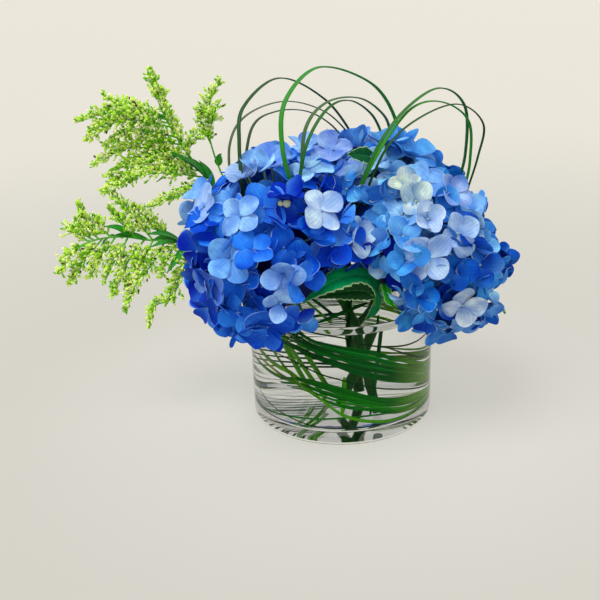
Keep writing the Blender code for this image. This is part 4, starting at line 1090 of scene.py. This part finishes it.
# all in mm; a filler names two branches, where it lies between them, and how long it is against them
goldenrodSettings = {
    "upper": {
        "stem": [(-18, 22, 0), (-34, 24, 55), (-51, 26, 103), (-82, 31, 150), (-104, 35, 186),
                 (-123, 33, 214), (-137, 30, 241), (-143, 28, 259), (-149, 25, 284)],
        "branches": [[(-143, 29, 248), (-160, 27, 252), (-175, 25, 258), (-186, 24, 265)],
                     [(-140, 29, 245), (-164, 22, 252), (-186, 20, 252), (-208, 18, 246)],
                     [(-136, 30, 239), (-154, 23, 243), (-179, 20, 244), (-202, 18, 231)],
                     [(-123, 33, 213), (-146, 32, 220), (-174, 30, 221), (-202, 28, 209)],
                     [(-117, 34, 205), (-144, 27, 212), (-172, 22, 202), (-194, 20, 188)],
                     [(-110, 34, 194), (-134, 22, 201), (-156, 14, 203), (-180, 8, 196)],
                     [(-141, 28, 254), (-138, 26, 262), (-137, 25, 268)],
                     [(-124, 33, 216), (-116, 38, 226), (-106, 42, 228)],
                     [(-104, 35, 186), (-128, 8, 186), (-152, 4, 178)],
                     [(-120, 33, 209), (-134, 30, 236), (-144, 27, 266)]],
        "fillers": [(1, 2, 0.5, 0.9), (2, 3, 0.33, 0.8), (2, 3, 0.67, 0.7), (3, 4, 0.5, 0.9),
                    (4, 5, 0.5, 0.9)],
        "leaves": [((-100, 35, 180), (-136, 12, 190)), ((-108, 35, 192), (-132, 6, 222)),
                   ((-92, 33, 168), (-126, 42, 176)), ((-118, 34, 206), (-154, 42, 190)),
                   ((-104, 30, 188), (-124, 22, 212)), ((-104, 33, 186), (-125, 40, 212)),
                   ((-102, 36, 187), (-115, 35, 209)), ((-118, 30, 207), (-160, 24, 219)),
                   ((-107, 32, 191), (-135, 14, 220)), ((-161, 28, 233), (-163, 30, 246))],
        "seed": 21},
    "small": {
        "stem": [(-8, 34, 0), (-26, 34, 55), (-44, 34, 103), (-74, 40, 152), (-96, 45, 190), (-106, 45, 225),
                 (-105, 45, 252), (-94, 45, 272)],
        "branches": [[(-105, 45, 222), (-112, 42, 238), (-116, 40, 250)],
                     [(-106, 45, 232), (-100, 40, 246), (-96, 38, 254)]],
        "fillers": [(0, 1, 0.5, 0.9)],
        "leaves": [((-101, 45, 201), (-97, 46, 212))],
        "seed": 33},
    "lower": {
        "stem": [(-10, 6, 0), (-31, 7, 55), (-52, 9, 103), (-94, 11, 131), (-129, 10, 146), (-156, 7, 149),
                 (-178, 2, 154), (-199, -2, 153), (-217, -7, 146), (-229, -10, 128)],
        "branches": [[(-198, -2, 153), (-207, -3, 168), (-211, -4, 184)],
                     [(-204, -4, 151), (-216, 0, 156), (-224, 4, 164)],
                     [(-154, 7, 148), (-167, 10, 166), (-180, 12, 180), (-190, 12, 192)],
                     [(-144, 9, 147), (-152, -3, 134), (-168, -10, 116), (-177, -12, 95)],
                     [(-122, 10, 143), (-127, -6, 128), (-139, -12, 104), (-152, -15, 99), (-158, -18, 84)],
                     [(-162, 6, 150), (-174, -4, 134), (-187, -9, 107)],
                     [(-192, -1, 153), (-207, -5, 139), (-223, -6, 117)],
                     [(-166, 5, 150), (-180, 6, 166), (-188, 6, 176)],
                     [(-142, 9, 147), (-156, 12, 164), (-170, 14, 176)],
                     [(-186, 1, 153), (-198, 2, 164), (-206, 4, 170)],
                     [(-134, 10, 146), (-141, -4, 136), (-145, -10, 123)]],
        "fillers": [(0, 1, 0.5, 0.8), (5, 3, 0.5, 0.75), (5, 6, 0.35, 0.8), (5, 6, 0.7, 0.8)],
        "leaves": [((-140, 9, 147), (-164, 22, 164)), ((-169, 4, 152), (-190, -4, 165)),
                   ((-132, 10, 146), (-154, -12, 160)), ((-184, 0, 153), (-200, 16, 142)),
                   ((-131, 6, 144), (-152, -6, 153)), ((-126, 8, 147), (-156, 4, 144)),
                   ((-158, 4, 151), (-190, 0, 154)), ((-123, -12, 137), (-140, -18, 128))],
        "seed": 45},
}
budSettings = {
    "station": 0.0018, "twigs": 3, "twigLength": (0.0030, 0.0090), "budsPerTwig": 4, "scatter": 1.15,
    "bare": 0.10, "forward": (0.2, 0.9), "stemSteps": 90,   # a branch's foot carries no twigs
    "length": (0.0024, 0.0040), "width": 0.38, "foot": 1.15, "stemRadius": 0.0017, "tipRadius": 0.0008,
    "branchRadius": 0.0007, "twigRadius": 0.00025, "brownShare": 0.02,
    "tints": [(0.64, 0.94, 0.08), (0.8, 1.0, 0.2), (0.92, 1.0, 0.42), (0.26, 0.66, 0.02), (0.96, 1.0, 0.7)],
    "browned": (0.18, 0.15, 0.04), "stalk": (0.10, 0.42, 0.02), "leaf": (0.014, 0.25, 0.010),
    "leafHalf": 0.0036, "leafSteps": 14, "leafThickness": 0.0004,
}


def budTemplate():
    bud = bmesh.new()
    bmesh.ops.create_uvsphere(bud, u_segments=5, v_segments=3, radius=1.0)
    for vert in bud.verts:
        t = (vert.co.z + 1) / 2
        narrow = budSettings["foot"] - 0.45 * t
        vert.co = Vector((vert.co.x * narrow, vert.co.y * narrow, t))
    bmesh.ops.recalc_face_normals(bud, faces=bud.faces)
    return asMesh(bud)


def budSurface():
    surface, tree, shader = newSurface("goldenrodBud")
    share = rangeOf(tree, noiseOf(tree, scale=900.0, detail=2.0), 0.4, 0.65, 0.0, 0.5)
    colour = timesColour(tree, share, tintOf(tree), (1.35, 1.25, 1.2))
    coatOf(tree, shader, colour, roughness=0.6, shine=0.1, through=0.50)
    return surface


def sprayLines(spray, points, stem):   # the branches, the fillers between them and the stem's own end
    lines = [mm(line) for line in spray["branches"]]
    for first, second, share, reach in spray["fillers"]:
        pair = [throughPoints(lines[n], 9) for n in (first, second)]
        line = [a.lerp(b, share) for a, b in zip(*pair)]
        lines.append([line[0]] + [line[0].lerp(place, reach) for place in line[2::2]])
    for line in lines:
        line[0] = nearestOn(stem, line[0])
    return lines + [[points[-3].lerp(points[-2], 0.5), points[-2], points[-1]]]


def addTwigs(buds, stalks, template, root, along, share, draw):   # twigs with buds round one place
    b = budSettings
    upward = (Vector((0, 0, 1)) - along * along.z).normalized()
    fullness = 0.45 + 0.75 * math.sin(math.pi * min(1.0, share * 1.05) ** 0.75)
    for k in range(b["twigs"]):
        around = Matrix.Rotation(draw.gauss(0, b["scatter"]), 3, along)
        outward = (around @ upward + along * draw.uniform(*b["forward"])).normalized()
        tip = root + outward * (draw.uniform(*b["twigLength"]) * fullness)
        stalks.append(([root, tip], (b["twigRadius"], b["twigRadius"] * 0.7)))
        for j in range(b["budsPerTwig"]):
            place = root.lerp(tip, 0.25 + 0.75 * j / (b["budsPerTwig"] - 1))
            scatter = Vector([draw.uniform(-1, 1) for axis in range(3)])
            facing = (outward + along * 0.5 + scatter * 0.8).normalized()
            length = draw.uniform(*b["length"]) * (0.75 + 0.25 * fullness)
            half = length * b["width"] / b["foot"]
            tint = draw.choice(b["tints"]) if draw.random() > b["brownShare"] else b["browned"]
            turn = facing.to_track_quat("Z", "Y").to_matrix()
            for vert in addPart(buds, template, tint):
                vert.co = place + turn @ Vector((vert.co.x * half, vert.co.y * half, vert.co.z * length))


def narrowLeaf(stem, base, tip, mark):
    b = budSettings
    base = nearestOn(stem, base)
    middle = base.lerp(tip, 0.5) + Vector((0, 0, 0.003))
    route = throughPoints([base, middle, tip], b["leafSteps"] + 1)
    flat = (tip - base).cross(Vector((0.2, -0.5, 1))).normalized()

    def halfAt(t):
        swell = math.sin(math.pi * min(1.0, t * 0.97 + 0.03) ** 0.8)
        return b["leafHalf"] * max(0.12, swell) if t < 1 else 0.0002
    return foldedBlade(route, flat, halfAt, 0, b["leafThickness"], mark)


def makeGoldenrod(which):
    spray, b = goldenrodSettings[which], budSettings
    draw = random.Random(spray["seed"])
    points = mm(spray["stem"])
    points[0] = stemFoot(points, b["stemRadius"])
    stem = throughPoints(points, b["stemSteps"])
    template = budTemplate()
    buds, growth, leaves = startPiece(), startPiece(), startPiece()
    stalks = [(stem, tapered(b["stemRadius"], b["tipRadius"] * 0.6, b["stemSteps"]))]
    for line in sprayLines(spray, points, stem):
        count = max(6, round(lengthOf(line) / b["station"]))
        route = throughPoints(line, count)
        stalks.append((route, tapered(b["branchRadius"] * 1.2, b["branchRadius"] * 0.5, count)))
        for i in range(1, count):
            share = i / (count - 1)
            if share >= b["bare"]:
                addTwigs(buds, stalks, template, route[i], directionAt(route, i), share, draw)
    addPart(growth, tubesMesh(stalks, 1), b["stalk"])
    for n, ends in enumerate(spray["leaves"]):
        addPart(leaves, narrowLeaf(stem, *mm(ends), n * 0.6), b["leaf"])
    node = f"goldenrod_{which}"
    stalkSkin = greenSurface(f"goldenrodStalk_{which}", 0.5, 400.0)
    finishPiece(buds, f"goldenrodBuds_{which}", node, "goldenrod", budSurface(), 80)
    finishPiece(growth, f"goldenrodStalks_{which}", node, "goldenrod", stalkSkin)
    leafSkin = bladeSurface(f"goldenrodLeaf_{which}", 0.45, 0.15)
    finishPiece(leaves, f"goldenrodLeaves_{which}", node, "goldenrod", leafSkin)


addCamera(cameraSettings)
for name, spec in lightSettings.items():
    addLight(name, *spec)
addRoom(roomSettings)
bpy.context.scene.view_settings.view_transform = "Standard"
print("camera, lights and floor placed")

makeVase(vaseSettings)
print("vase and water made")

for which in stemSettings:
    makeStem(which)
for leaf in leafSettings:
    makeLeaf(leaf)
print("stems and leaves made")

for which in loopSettings:
    makeLoop(which)
makeCoil()
print("grass made")

for which in goldenrodSettings:
    makeGoldenrod(which)
print("goldenrod made")

for which in headSettings:
    makeHead(which)
    print("hydrangea head made:", which)
